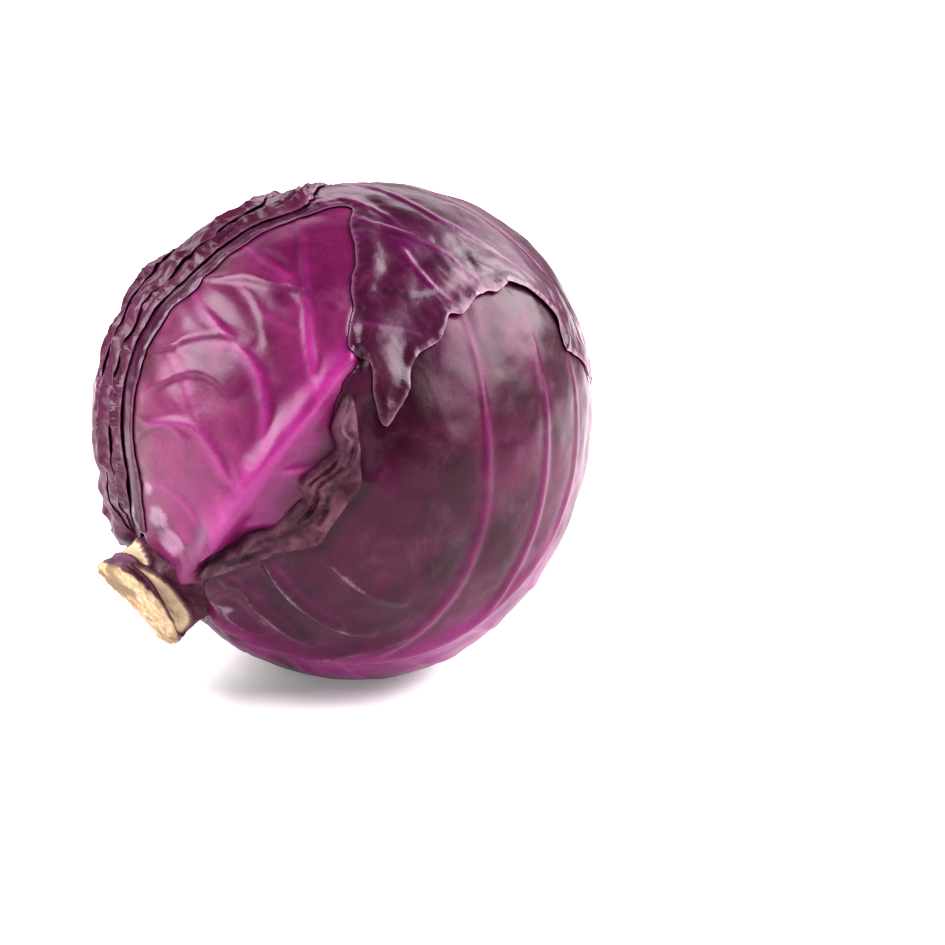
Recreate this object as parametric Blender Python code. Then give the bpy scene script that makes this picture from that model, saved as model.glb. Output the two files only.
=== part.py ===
"""A head of red cabbage, lying on its side with its cut stem end to the left.

Metres, +Z up. The origin is in the middle of the small flat spot that the head rests on.
A place on the head is given as two angles in degrees: the first runs along the head, from 0 at
the stem end to 180 at the top, and the second is the turn round the stem's axis, 0 on the side
that faces -Y and growing over the upper side.
"""
import math

import bmesh
import bpy
import numpy as np
from mathutils.geometry import delaunay_2d_cdt

MM = 0.001

# The head as a whole
HALF_WIDTH = 81.5 * MM
BASE_LENGTH = 76.0 * MM         # from the middle of the head to its stem end
TOP_LENGTH = 90.0 * MM          # from the middle of the head to its top
BASE_FULLNESS = 2.25            # 2 is an ellipse, and more is squarer
TOP_FULLNESS = 1.83
MIDDLE_HEIGHT = 79.6 * MM       # above what the head rests on
AXIS_RISE = math.radians(34.9)  # how far the top points up
AXIS_SWING = math.radians(28.1)  # how far the top points away, towards +Y
FRONT_RISE = math.radians(15.0)  # the side of turn 0 faces -Y and this much up

# The leaves
LEAF_THICKNESS = 0.9 * MM
LEAF_GAP = 1.05 * MM
TUCK_REACH = 8.0 * MM           # how gently the heart gives way under the leaves that cover it
TUCK_SOFTNESS = 1.5 * MM
SWELL_REACH = 12.0 * MM         # and how gently under their ribs, which so still stand out
DRAPE_REACH = 6.0 * MM          # how closely a leaf follows what is under it
DRAPE_SOFTNESS = 0.2 * MM
DEEPEST_HOLLOW = -8             # in steps of that softness, below which a leaf spans a hollow
EDGE_WAVE_HEIGHT = 1.3 * MM
EDGE_WAVE_LENGTH = 21.0 * MM
EDGE_WAVE_REACH = 9.0 * MM
EDGE_STEP = 7.0 * MM            # between two corners of a margin
MESH_STEP = 10.0 * MM           # between two corners inside a blade
MIDRIB_HEIGHT = 3.6 * MM
MIDRIB_HALF_WIDTH = 4.2 * MM
MIDRIB_FOOT = 6.0 * MM          # from the middle of the midrib to where the blade is level again
VEIN_HEIGHT = 1.9 * MM
VEIN_HALF_WIDTH = 2.6 * MM
VEIN_FOOT = 4.0 * MM
RIB_TAPER = 0.7                 # the share of its height that a rib loses towards its tip
SIDE_VEIN_START = 7.0 * MM      # how far from the midrib a side vein laid by rule begins
SIDE_VEIN_END = 110.0 * MM
SIDE_VEIN_RISE = 0.35
SIDE_VEIN_BEND = 180.0 * MM     # the smaller, the more it bends up towards the leaf's tip
FITTING_ROUNDS = 5
FLOOR_ROOM = 1.6                # leaf steps kept free above the floor for each leaf outside
PRESSED_SHARE = 0.15            # how much of a rib still stands out under another leaf
CUFF_HEIGHT = 1.5 * MM          # how much thicker the folded margin of the lower leaf is
CUFF_ROUNDING = 2.5 * MM

# The flat spot
FLAT_RADIUS = 15.0 * MM
CALM_FROM = math.radians(16.0)  # no vein or wave stands out this near the spot
CALM_TO = math.radians(34.0)

# The stem
STEM_RADIUS = 17.8 * MM
STEM_LEAN = 4.0 * MM            # how far the cut face lies towards the upper side
STEM_SIDES = 24
STEM_CLEARANCE = 0.8 * MM
STEM_PROFILE = [(60.0, 0.82), (69.0, 0.90), (76.0, 0.95), (80.0, 0.97), (83.5, 0.97), (85.5, 1.02),
                (88.5, 1.04), (90.2, 1.03), (91.0, 0.98)]  # distance in mm and share of the radius
HEART_DISH = math.radians(22.0)  # how far from the axis the heart makes room for the stem
HEART_DIVISIONS = 4

# The grid of angles on which surfaces are laid over each other
ROWS = 120
COLUMNS = 240

COLOURS = {
    "stem": (0.55, 0.42, 0.27),
    "heart": (0.20, 0.035, 0.16),
    "leaf_front": (0.42, 0.06, 0.33),
    "leaf_lower": (0.14, 0.02, 0.09),
    "leaf_under": (0.16, 0.025, 0.11),
    "leaf_top": (0.20, 0.04, 0.14),
    "leaf_back": (0.22, 0.05, 0.16),
    "leaf_left": (0.19, 0.04, 0.13),
    "leaf_outer": (0.17, 0.035, 0.12),
}

# The leaves, from the inmost one out. Edge and ribs are places on the head. The first rib is the
# midrib. A leaf with no side veins of its own gets them by rule, this far apart.
LEAVES = {
    "leaf_front": {
        "middle": (80, 4),
        "edge": [(14.5, -14), (28, -45), (50, -64), (80, -70), (112, -64), (138, -54), (152, -20),
                 (150, 30), (136, 62), (112, 78), (86, 84), (60, 84), (38, 78), (22, 56), (14.5, 18)],
        "ribs": [[(16, -3), (30, -1), (46, 3), (61, 6), (75, 8), (90, 10), (108, 9), (128, 4)],
                 [(70, 8), (78, 9), (84, 16), (94, 29), (101, 38), (108, 49), (113, 60)],
                 [(58, 6), (66, 12), (72, 20), (75, 33), (77, 46), (81, 60)],
                 [(44, 4), (50, 12), (54, 22), (54, 32), (50, 42), (48, 54)],
                 [(60, 4), (72, -6), (84, -20), (92, -38)],
                 [(42, 1), (54, -10), (64, -26), (70, -44)],
                 [(84, 8), (98, 0), (110, -14), (118, -32)]],
    },
    "leaf_lower": {
        "middle": (84, -62),
        "edge": [(14.5, -34), (24, -8), (33, -2), (46, -4), (57, -6), (62, -2), (74, -1), (84, 6),
                 (94, 8), (112, 6), (130, -4), (145, -28), (154, -66), (158, -108), (132, -132),
                 (98, -140), (70, -148), (48, -146), (30, -132), (18, -96)],
        "ribs": [[(16, -60), (28, -62), (48, -66), (70, -68), (95, -66), (120, -60)],
                 [(34, -62), (46, -50), (60, -40), (74, -33), (90, -30)],
                 [(56, -66), (70, -54), (86, -42), (102, -30), (114, -16)],
                 [(80, -67), (96, -56), (112, -42), (124, -26)],
                 [(28, -58), (38, -40), (52, -26), (64, -20)]],
        "side_vein_gap": 30 * MM,
        "ruled_side": 1,
    },
    "leaf_under": {
        "middle": (82, 200),
        "edge": [(14.5, 175), (19, 232), (32, 256), (54, 262), (80, 262), (106, 260), (130, 254),
                 (150, 238), (164, 212), (158, 180), (142, 158), (116, 142), (90, 134), (62, 134), (38, 142),
                 (20, 158)],
        "ribs": [[(16, 196), (40, 198), (70, 200), (100, 200), (126, 196)]],
        "side_vein_gap": 27 * MM,
    },
    "leaf_top": {
        "middle": (98, 96),
        "edge": [(14.5, 112), (18, 62), (24, 43), (40, 49), (54, 55), (66, 57), (84, 53), (102, 52),
                 (117, 49), (120, 44), (114, 38), (106, 27), (99, 20), (91, 13), (91, 6), (85, -6),
                 (96, -4), (105, 1), (118, 2), (130, -1), (139, -6), (143, -18), (140, -34),
                 (144, -64), (154, -100), (162, -160), (154, 175), (132, 172), (104, 170), (72, 168),
                 (44, 162), (22, 144)],
        "ribs": [[(16, 100), (40, 102), (70, 104), (100, 103), (126, 98), (150, 80)],
                 [(92, 103), (108, 84), (118, 62), (123, 40), (127, 20), (130, 4)],
                 [(106, 103), (124, 78), (135, 50), (139, 28), (144, 4), (145, -16)],
                 [(98, 20), (98, 13), (102, 9), (107, 3)],
                 [(36, 102), (48, 86), (56, 70), (62, 58)],
                 [(54, 103), (70, 84), (80, 68), (86, 56)],
                 [(72, 104), (88, 86), (98, 70), (104, 56)]],
        "side_vein_gap": 30 * MM,
        "ruled_side": -1,
    },
    "leaf_back": {
        "middle": (84, 146),
        "edge": [(14.5, 134), (20, 92), (32, 66), (46, 60), (62, 63), (76, 62), (92, 58), (108, 56),
                 (118, 60), (128, 78), (138, 104), (145, 140), (142, 176), (124, 200), (98, 210),
                 (72, 212), (50, 206), (30, 196), (18, 176)],
        "ribs": [[(16, 146), (40, 148), (70, 150), (100, 150), (128, 146)]],
        "side_vein_gap": 26 * MM,
    },
    "leaf_left": {
        "middle": (74, 122),
        "edge": [(14.5, 122), (22, 84), (36, 70), (50, 68), (64, 70), (78, 67), (94, 66), (107, 68),
                 (117, 82), (122, 104), (120, 130), (110, 152), (90, 168), (66, 172), (42, 166),
                 (24, 152)],
        "ribs": [[(16, 124), (40, 128), (70, 130), (106, 124)]],
        "side_vein_gap": 25 * MM,
    },
    "leaf_outer": {
        "middle": (58, 118),
        "edge": [(14.5, 112), (22, 90), (34, 80), (46, 77), (58, 79), (70, 76), (84, 81), (94, 98),
                 (98, 122), (92, 144), (76, 156), (54, 158), (36, 150), (22, 134)],
        "ribs": [[(30, 119), (44, 121), (64, 122), (90, 118)]],
        "side_vein_gap": 23 * MM,
    },
}
CUFF_INNER_EDGE = [(24, -8), (33, -2), (46, -4), (57, -6), (62, -2), (74, -1), (84, 6), (94, 8)]
CUFF_OUTER_EDGE = [(24, -12), (33, -9), (46, -13), (58, -17), (72, -12), (84, -10), (94, -8)]


def unit(vector):
    return vector / np.linalg.norm(vector)


AXIS = np.array([math.cos(AXIS_RISE) * math.cos(AXIS_SWING),
                 math.cos(AXIS_RISE) * math.sin(AXIS_SWING),
                 math.sin(AXIS_RISE)])
OUTWARD = np.array([0.0, -math.cos(FRONT_RISE), math.sin(FRONT_RISE)])
FRONT = unit(OUTWARD - (OUTWARD @ AXIS) * AXIS)
UPPER = np.cross(FRONT, AXIS)
MIDDLE = np.array([0.0, 0.0, MIDDLE_HEIGHT])


def direction(along, turn):
    """The unit vectors from the middle of the head to places given in radians."""
    along, turn = np.asarray(along)[..., None], np.asarray(turn)[..., None]
    sideways = np.cos(turn) * FRONT + np.sin(turn) * UPPER
    return np.sin(along) * sideways - np.cos(along) * AXIS


def head_radius(directions):
    """How far the outside of the head is from its middle."""
    lengthwise = directions @ AXIS
    crosswise = np.sqrt(np.maximum(1 - lengthwise ** 2, 0))
    length = np.where(lengthwise < 0, BASE_LENGTH, TOP_LENGTH)
    fullness = np.where(lengthwise < 0, BASE_FULLNESS, TOP_FULLNESS)
    reach = (np.abs(lengthwise) / length) ** fullness + (crosswise / HALF_WIDTH) ** fullness
    return reach ** (-1 / fullness)


def floor_radius(directions):
    """How far the surface that the head rests on is from the middle of the head."""
    return MIDDLE_HEIGHT / np.maximum(-directions[..., 2], 0.05)


def calm(directions):
    """0 round the flat spot and 1 away from it."""
    from_spot = np.arccos(np.clip(-directions[..., 2], -1, 1))
    share = np.clip((from_spot - CALM_FROM) / (CALM_TO - CALM_FROM), 0, 1)
    return share * share * (3 - 2 * share)


ROW_ANGLES = (np.arange(ROWS) + 0.5) * math.pi / ROWS
COLUMN_ANGLES = np.arange(COLUMNS) * 2 * math.pi / COLUMNS
GRID = direction(*np.meshgrid(ROW_ANGLES, COLUMN_ANGLES, indexing="ij"))


def blurred(field, reach):
    """A grid field averaged over a bell-shaped patch of the same size everywhere on the head."""
    angle = reach / HALF_WIDTH
    waves = np.fft.rfftfreq(COLUMNS, 1 / COLUMNS)
    widths = angle / np.sin(ROW_ANGLES)[:, None]
    rings = np.fft.rfft(field, axis=1) * np.exp(-0.5 * (waves * widths) ** 2)
    field = np.fft.irfft(rings, COLUMNS, axis=1)
    far_side = np.roll(field[::-1], COLUMNS // 2, axis=1)
    meridians = np.vstack([field, far_side])
    waves = np.fft.rfftfreq(2 * ROWS, 1 / (2 * ROWS))[:, None]
    bands = np.fft.rfft(meridians, axis=0) * np.exp(-0.5 * (waves * angle) ** 2)
    return np.fft.irfft(bands, 2 * ROWS, axis=0)[:ROWS]


def draped(field, softness):
    """A soft surface that lies over the field and rounds off its steps."""
    base = blurred(field, 3 * DRAPE_REACH)
    steps = np.maximum((field - base) / softness, DEEPEST_HOLLOW)
    swollen = np.maximum(blurred(np.exp(steps), DRAPE_REACH), math.exp(DEEPEST_HOLLOW))
    return base + softness * np.log(swollen)


def sampled(field, directions):
    """The field at any directions, read between the grid's places."""
    along = np.arccos(np.clip(-directions @ AXIS, -1, 1))
    turn = np.arctan2(directions @ UPPER, directions @ FRONT) % (2 * math.pi)
    row = np.clip(along * ROWS / math.pi - 0.5, 0, ROWS - 1.001)
    column = turn * COLUMNS / (2 * math.pi)
    top, left = row.astype(int), column.astype(int)
    down, right = row - top, column - left
    left, beside = left % COLUMNS, (left + 1) % COLUMNS
    upper = field[top, left] * (1 - right) + field[top, beside] * right
    lower = field[top + 1, left] * (1 - right) + field[top + 1, beside] * right
    return upper * (1 - down) + lower * down


class Sheet:
    """A leaf laid flat, seen from outside, midrib upright: distances from its middle are true."""

    def __init__(self, middle):
        along, turn = (math.radians(angle) for angle in middle)
        self.out = direction(along, turn)
        self.up = direction(along + math.pi / 2, turn)
        self.across = math.sin(turn) * FRONT - math.cos(turn) * UPPER

    def flat(self, directions):
        angle = np.arccos(np.clip(directions @ self.out, -1, 1))
        stretch = HALF_WIDTH * angle / np.maximum(np.sin(angle), 1e-6)
        return np.stack([directions @ self.across * stretch, directions @ self.up * stretch], -1)

    def places(self, angles):
        radians = np.radians(np.array(angles, float))
        return self.flat(direction(radians[:, 0], radians[:, 1]))

    def directions(self, points):
        length = np.linalg.norm(points, axis=-1, keepdims=True)
        heading = points / np.maximum(length, 1e-9)
        angle = length / HALF_WIDTH
        sideways = heading[..., :1] * self.across + heading[..., 1:] * self.up
        return np.cos(angle) * self.out + np.sin(angle) * sideways


def smooth_path(points, step, closed):
    """A curve through the points, cut into equal steps."""
    count = len(points)
    spans = count if closed else count - 1
    pieces = []
    for span in range(spans):
        if closed:
            a, b, c, d = (points[(span + k) % count] for k in (-1, 0, 1, 2))
        else:
            a, b, c, d = (points[min(max(span + k, 0), count - 1)] for k in (-1, 0, 1, 2))
        t = np.linspace(0, 1, 12, endpoint=False)[:, None]
        pieces.append(b + 0.5 * t * (c - a + t * (2 * a - 5 * b + 4 * c - d
                                                  + t * (3 * (b - c) + d - a))))
    pieces.append(points[:1] if closed else points[-1:])
    curve = np.vstack(pieces)
    lengths = np.concatenate([[0], np.cumsum(np.linalg.norm(np.diff(curve, axis=0), axis=1))])
    steps = max(2, round(lengths[-1] / step))
    stops = np.linspace(0, lengths[-1], steps + 1)
    even = np.stack([np.interp(stops, lengths, curve[:, k]) for k in (0, 1)], -1)
    return even[:-1] if closed else even


def nearest_on(points, path, closed):
    """For each point, how far the path is, and how far along the path the nearest place is."""
    starts = path if closed else path[:-1]
    ends = np.roll(path, -1, axis=0) if closed else path[1:]
    runs = ends - starts
    sizes = np.linalg.norm(runs, axis=1)
    passed = np.concatenate([[0], np.cumsum(sizes)[:-1]])
    best = np.full(len(points), np.inf)
    where = np.zeros(len(points))
    for start, run, size, before in zip(starts, runs, sizes, passed):
        share = np.clip((points - start) @ run / size ** 2, 0, 1)
        distance = np.linalg.norm(points - start - share[:, None] * run, axis=1)
        closer = distance < best
        best[closer] = distance[closer]
        where[closer] = before + share[closer] * size
    return best, where, sizes.sum()


def inside(points, outline):
    """Which points an outline encloses."""
    x, y = points[:, 0], points[:, 1]
    result = np.zeros(len(points), bool)
    for (x0, y0), (x1, y1) in zip(outline, np.roll(outline, -1, axis=0)):
        crosses = (y0 > y) != (y1 > y)
        result ^= crosses & (x < (x1 - x0) * (y - y0) / (y1 - y0 + 1e-15) + x0)
    return result


def beside(path, distance):
    """The points on both sides of a path, that far from it."""
    sideways = np.gradient(path, axis=0)[:, ::-1] * (1, -1)
    sideways *= distance / np.linalg.norm(sideways, axis=1, keepdims=True)
    return np.vstack([path + sideways, path - sideways])


def ruled_veins(sheet, leaf, outline):
    """Side veins that leave the midrib in pairs and bend up towards the margin."""
    midrib = smooth_path(sheet.places(leaf["ribs"][0]), leaf["side_vein_gap"], closed=False)
    sides = [leaf["ruled_side"]] if "ruled_side" in leaf else [-1, 1]
    veins = []
    for foot in midrib[1:-1]:
        for side in sides:
            reach = np.linspace(SIDE_VEIN_START, SIDE_VEIN_END, 12)
            climb = reach * (SIDE_VEIN_RISE + reach / SIDE_VEIN_BEND)
            vein = foot + np.stack([side * reach, climb], -1)
            veins.append(vein[inside(vein, outline)])
    return [vein for vein in veins if len(vein) > 2]


class Leaf:
    """One leaf: its outline and ribs laid flat, and where it covers the head."""

    def __init__(self, name, leaf):
        self.name = name
        self.sheet = Sheet(leaf["middle"])
        self.outline = smooth_path(self.sheet.places(leaf["edge"]), EDGE_STEP, closed=True)
        self.ribs = [smooth_path(self.sheet.places(rib), 0.9 * MESH_STEP, closed=False)
                     for rib in leaf["ribs"]]
        if "side_vein_gap" in leaf:
            self.ribs += ruled_veins(self.sheet, leaf, self.outline)
        self.grid_points = self.sheet.flat(GRID).reshape(-1, 2)
        self.covers = inside(self.grid_points, self.outline).reshape(ROWS, COLUMNS)

    def relief(self, points, freedom):
        """How far the ribs and the waved margin stand out, where nothing presses on them."""
        height = np.zeros(len(points))
        for number, rib in enumerate(self.ribs):
            distance, passed, whole = nearest_on(points, rib, closed=False)
            full_height, full_width = (MIDRIB_HEIGHT, MIDRIB_HALF_WIDTH) if number == 0 \
                else (VEIN_HEIGHT, VEIN_HALF_WIDTH)
            taper = 1 - RIB_TAPER * passed / whole
            ridge = full_height * taper * np.exp(-(distance / (full_width * (0.4 + 0.6 * taper))) ** 2)
            height = np.maximum(height, ridge)
        distance, passed, whole = nearest_on(points, self.outline, closed=True)
        waves = round(whole / EDGE_WAVE_LENGTH)
        wave = 0.5 + 0.5 * np.sin(2 * math.pi * waves * passed / whole)
        height *= PRESSED_SHARE + (1 - PRESSED_SHARE) * freedom
        height += EDGE_WAVE_HEIGHT * wave * np.exp(-(distance / EDGE_WAVE_REACH) ** 2) * freedom
        if self.name == "leaf_lower":
            height += self.cuff(points)
        return height * calm(self.sheet.directions(points))

    def cuff(self, points):
        """The band along the front margin where the blade is folded back on itself."""
        band = np.vstack([self.sheet.places(CUFF_INNER_EDGE), self.sheet.places(CUFF_OUTER_EDGE)[::-1]])
        distance, _, _ = nearest_on(points, band, closed=True)
        signed = np.where(inside(points, band), distance, -distance)
        return CUFF_HEIGHT * np.clip(0.6 + signed / CUFF_ROUNDING, 0, 1)

    def well_inside(self, points):
        """Which points are in the blade and not too near its margin to be corners."""
        distance, _, _ = nearest_on(points, self.outline, closed=True)
        return inside(points, self.outline) & (distance > 0.5 * EDGE_STEP)

    def flat_mesh(self):
        """Corners and triangles of the flat blade, with edges along its ribs."""
        corners = list(self.outline)
        lines = []
        for number, rib in enumerate(self.ribs):
            kept = rib[self.well_inside(rib)]
            if number > 0:
                from_midrib, _, _ = nearest_on(kept, self.ribs[0], closed=False)
                kept = kept[from_midrib > MIDRIB_FOOT]
            if len(kept) > 1:
                lines += [(len(corners) + k, len(corners) + k + 1) for k in range(len(kept) - 1)]
                corners += list(kept)
        if self.name == "leaf_under":
            spot = self.sheet.flat(np.array([0.0, 0.0, -1.0]))
            for radius, count in ((0, 1), (FLAT_RADIUS / 2, 6), (FLAT_RADIUS, 12)):
                for k in range(count):
                    turn = 2 * math.pi * k / count
                    corners.append(spot + radius * np.array([math.cos(turn), math.sin(turn)]))
        for number, rib in enumerate(self.ribs):
            for corner in beside(rib, VEIN_FOOT if number else MIDRIB_FOOT):
                clear = np.linalg.norm(np.array(corners) - corner, axis=1).min() > 0.34 * MESH_STEP
                if clear and self.well_inside(corner[None])[0]:
                    corners.append(corner)
        taken = np.array(corners)
        low, high = self.outline.min(axis=0), self.outline.max(axis=0)
        across = np.arange(low[0], high[0], MESH_STEP)
        upward = np.arange(low[1], high[1], MESH_STEP * math.sqrt(0.75))
        fill = np.array([(x + (row % 2) * MESH_STEP / 2, y)
                         for row, y in enumerate(upward) for x in across])
        fill = fill[self.well_inside(fill)]
        spacing = np.linalg.norm(fill[:, None] - taken[None], axis=2).min(axis=1)
        corners = np.vstack([taken, fill[spacing > 0.62 * MESH_STEP]])
        outline_face = list(range(len(self.outline)))
        points, _, faces, *_ = delaunay_2d_cdt([tuple(corner / MM) for corner in corners], lines,
                                               [outline_face], 1, 1e-4, False)
        points = np.array([tuple(point) for point in points]) * MM
        within = inside(points[np.array(faces)].mean(axis=1), self.outline)
        return points, [face for face, kept in zip(faces, within) if kept]


def lay_leaves(leaves, heart, ribbed):
    """Lay the leaves over the heart one by one. Gives the outside of the head and the blades."""
    pitch = LEAF_THICKNESS + LEAF_GAP
    surface = heart
    blades = []
    for number, leaf in enumerate(leaves):
        later = sum((other.covers.astype(float) for other in leaves[number + 1:]),
                    np.zeros((ROWS, COLUMNS)))
        later = np.clip(blurred(later, DRAPE_REACH), 0, None)
        freedom = 1 - np.clip(later, 0, 1)
        room = later * FLOOR_ROOM * pitch
        ground = draped(surface, DRAPE_SOFTNESS)
        relief = np.zeros(ROWS * COLUMNS)
        if ribbed:
            under = leaf.covers.ravel()
            relief[under] = leaf.relief(leaf.grid_points[under], freedom.ravel()[under])
        top = ground + pitch + relief.reshape(ROWS, COLUMNS)
        top = np.minimum(top, floor_radius(GRID) - room)
        surface = np.where(leaf.covers, np.maximum(surface, top), surface)
        blades.append((leaf, ground, room, freedom))
    return surface, blades


def blade_shape(leaf, ground, room, freedom):
    """The corners of a laid blade, as directions and two distances from the middle of the head."""
    points, faces = leaf.flat_mesh()
    ways = leaf.sheet.directions(points)
    inner = sampled(ground, ways) + LEAF_GAP
    relief = leaf.relief(points, sampled(freedom, ways))
    outer = np.minimum(inner + LEAF_THICKNESS + relief, floor_radius(ways) - sampled(room, ways))
    inner = np.minimum(inner, outer - LEAF_THICKNESS)
    return leaf.name, ways, inner, outer, faces


def grow_head():
    """Fit the heart inside the leaves, so that the outside of the head keeps its form."""
    leaves = [Leaf(name, leaf) for name, leaf in LEAVES.items()]
    target = head_radius(GRID)
    depth = sum(leaf.covers.astype(float) for leaf in leaves)
    room = blurred(depth, TUCK_REACH) * FLOOR_ROOM * (LEAF_THICKNESS + LEAF_GAP)
    lowest = floor_radius(GRID) - room
    heart = np.minimum(target, lowest)
    for _ in range(FITTING_ROUNDS):
        plain, _ = lay_leaves(leaves, heart, ribbed=False)
        swollen, _ = lay_leaves(leaves, heart, ribbed=True)
        tuck = blurred(draped(plain - heart, TUCK_SOFTNESS), TUCK_REACH)
        tuck += blurred(swollen - plain, SWELL_REACH)
        heart = np.minimum(target - tuck, lowest)
    _, blades = lay_leaves(leaves, heart, ribbed=True)
    return heart, [blade_shape(*blade) for blade in blades]


def material(name):
    made = bpy.data.materials.new(name)
    made.use_nodes = True
    shader = made.node_tree.nodes["Principled BSDF"]
    shader.inputs["Base Color"].default_value = (*COLOURS[name], 1)
    shader.inputs["Roughness"].default_value = 0.75 if name == "stem" else 0.4
    shader.inputs["Metallic"].default_value = 0.0
    return made


def add_object(name, mesh_builder):
    """Turn a finished bmesh into the named object."""
    mesh = bpy.data.meshes.new(name)
    mesh_builder.to_mesh(mesh)
    mesh_builder.free()
    mesh.shade_smooth()
    mesh.materials.append(material(name))
    made = bpy.data.objects.new(name, mesh)
    bpy.context.scene.collection.objects.link(made)
    return made


def rested(position):
    """A corner at its place in the world, exactly on the ground where it touches it."""
    x, y, z = position + MIDDLE
    return x, y, 0.0 if abs(z) < 1e-6 else z


def build_leaf(name, ways, inner, outer, faces):
    """A blade: two surfaces split into the same triangles, joined by a rim."""
    builder = bmesh.new()
    outside = [builder.verts.new(rested(way * radius)) for way, radius in zip(ways, outer)]
    inside_ = [builder.verts.new(rested(way * radius)) for way, radius in zip(ways, inner)]
    edges = {pair for face in faces for pair in zip(face, face[1:] + face[:1])}
    for face in faces:
        builder.faces.new([outside[k] for k in face])
        builder.faces.new([inside_[k] for k in reversed(face)])
    for start, end in edges:
        if (end, start) not in edges:
            builder.faces.new([outside[start], inside_[start], inside_[end]])
            builder.faces.new([outside[start], inside_[end], outside[end]])
    for corner in [v for v in builder.verts if not v.link_faces]:
        builder.verts.remove(corner)
    add_object(name, builder)


def build_heart(surface):
    """The tight inner leaves as one solid, with a dish round the stem's hidden end."""
    builder = bmesh.new()
    bmesh.ops.create_icosphere(builder, subdivisions=HEART_DIVISIONS, radius=1)
    for corner in builder.verts:
        way = np.array(corner.co)
        radius = float(sampled(surface, way))
        lengthwise = -way @ AXIS
        if lengthwise > math.cos(HEART_DISH):
            radius = min(radius, (STEM_PROFILE[0][0] * MM - STEM_CLEARANCE) / lengthwise)
        corner.co = way * radius + MIDDLE
    add_object("heart", builder)


def build_stem():
    """The stump: a root among the leaf bases, two ledges where leaves were pulled off, a cut."""
    builder = bmesh.new()
    rings = []
    root, cut = STEM_PROFILE[0][0], STEM_PROFILE[-1][0]
    for distance, share in STEM_PROFILE:
        lean = STEM_LEAN * (distance - root) / (cut - root)
        centre = MIDDLE - AXIS * distance * MM + UPPER * lean
        ring = []
        for k in range(STEM_SIDES):
            turn = 2 * math.pi * k / STEM_SIDES
            radius = STEM_RADIUS * share * (1 + 0.035 * math.cos(2 * turn + 0.6) + 0.02 * math.sin(5 * turn))
            side = math.cos(turn) * FRONT + math.sin(turn) * UPPER
            ring.append(builder.verts.new(centre + side * radius))
        rings.append(ring)
    for lower, upper in zip(rings, rings[1:]):
        for k in range(STEM_SIDES):
            following = (k + 1) % STEM_SIDES
            builder.faces.new([lower[k], upper[k], upper[following], lower[following]])
    builder.faces.new(rings[0])
    builder.faces.new(rings[-1][::-1])
    bmesh.ops.recalc_face_normals(builder, faces=builder.faces)
    bmesh.ops.triangulate(builder, faces=builder.faces)
    add_object("stem", builder)


def main():
    for old in list(bpy.data.objects):
        bpy.data.objects.remove(old, do_unlink=True)
    heart, shapes = grow_head()
    build_heart(heart)
    for shape in shapes:
        build_leaf(*shape)
    build_stem()


main()
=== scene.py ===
import math

import bpy
import numpy as np
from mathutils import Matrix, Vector


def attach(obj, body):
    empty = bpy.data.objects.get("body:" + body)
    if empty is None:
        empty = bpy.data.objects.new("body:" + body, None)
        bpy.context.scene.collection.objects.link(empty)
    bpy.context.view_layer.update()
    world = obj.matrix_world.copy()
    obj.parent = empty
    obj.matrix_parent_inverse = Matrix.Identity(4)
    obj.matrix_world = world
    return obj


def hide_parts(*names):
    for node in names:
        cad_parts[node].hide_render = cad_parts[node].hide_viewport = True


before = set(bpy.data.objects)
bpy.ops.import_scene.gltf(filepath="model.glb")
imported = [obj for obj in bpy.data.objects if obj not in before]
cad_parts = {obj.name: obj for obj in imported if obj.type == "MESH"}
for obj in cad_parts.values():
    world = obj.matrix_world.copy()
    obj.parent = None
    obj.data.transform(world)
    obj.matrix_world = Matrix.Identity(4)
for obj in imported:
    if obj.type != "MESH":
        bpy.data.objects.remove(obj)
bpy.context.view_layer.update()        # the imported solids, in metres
print("frame loaded:", len(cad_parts), "nodes")

mm = 0.001               # everything below is in mm until a vertex is placed

# The head: its outside form, and the grid of angles on which the leaves are laid over each other
head = {
    "middleHeight": 79.6,
    "halfWidth": 81.5,
    "baseLength": 76.0,      # from the middle to the stem end
    "topLength": 90.0,
    "baseFullness": 2.25,    # 2 is an ellipse, more is squarer
    "topFullness": 1.83,
    "axisRise": 34.9,        # degrees
    "axisSwing": 28.1,
    "frontRise": 15.0,
    "rows": 240,
    "columns": 480,
}


def unit(vector):
    return vector / np.linalg.norm(vector)


def rad(angle):
    return math.radians(angle)


axis = np.array([math.cos(rad(head["axisRise"])) * math.cos(rad(head["axisSwing"])),
                 math.cos(rad(head["axisRise"])) * math.sin(rad(head["axisSwing"])),
                 math.sin(rad(head["axisRise"]))])
outward = np.array([0.0, -math.cos(rad(head["frontRise"])), math.sin(rad(head["frontRise"]))])
front = unit(outward - (outward @ axis) * axis)
upper = np.cross(front, axis)
middle = np.array([0.0, 0.0, head["middleHeight"]])


def direction(along, turn):
    # along runs from 0 at the stem end to pi at the top, turn is 0 at the front and grows upwards
    along, turn = np.asarray(along)[..., None], np.asarray(turn)[..., None]
    return np.sin(along) * (np.cos(turn) * front + np.sin(turn) * upper) - np.cos(along) * axis


def headRadius(ways):
    lengthwise = ways @ axis
    crosswise = np.sqrt(np.maximum(1 - lengthwise ** 2, 0))
    length = np.where(lengthwise < 0, head["baseLength"], head["topLength"])
    fullness = np.where(lengthwise < 0, head["baseFullness"], head["topFullness"])
    reach = (np.abs(lengthwise) / length) ** fullness + (crosswise / head["halfWidth"]) ** fullness
    return reach ** (-1 / fullness)


def floorRadius(ways):
    return head["middleHeight"] / np.maximum(-ways[..., 2], 0.05)


rows, columns = head["rows"], head["columns"]
rowAngles = (np.arange(rows) + 0.5) * math.pi / rows
columnAngles = np.arange(columns) * 2 * math.pi / columns
grid = direction(*np.meshgrid(rowAngles, columnAngles, indexing="ij"))


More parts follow.
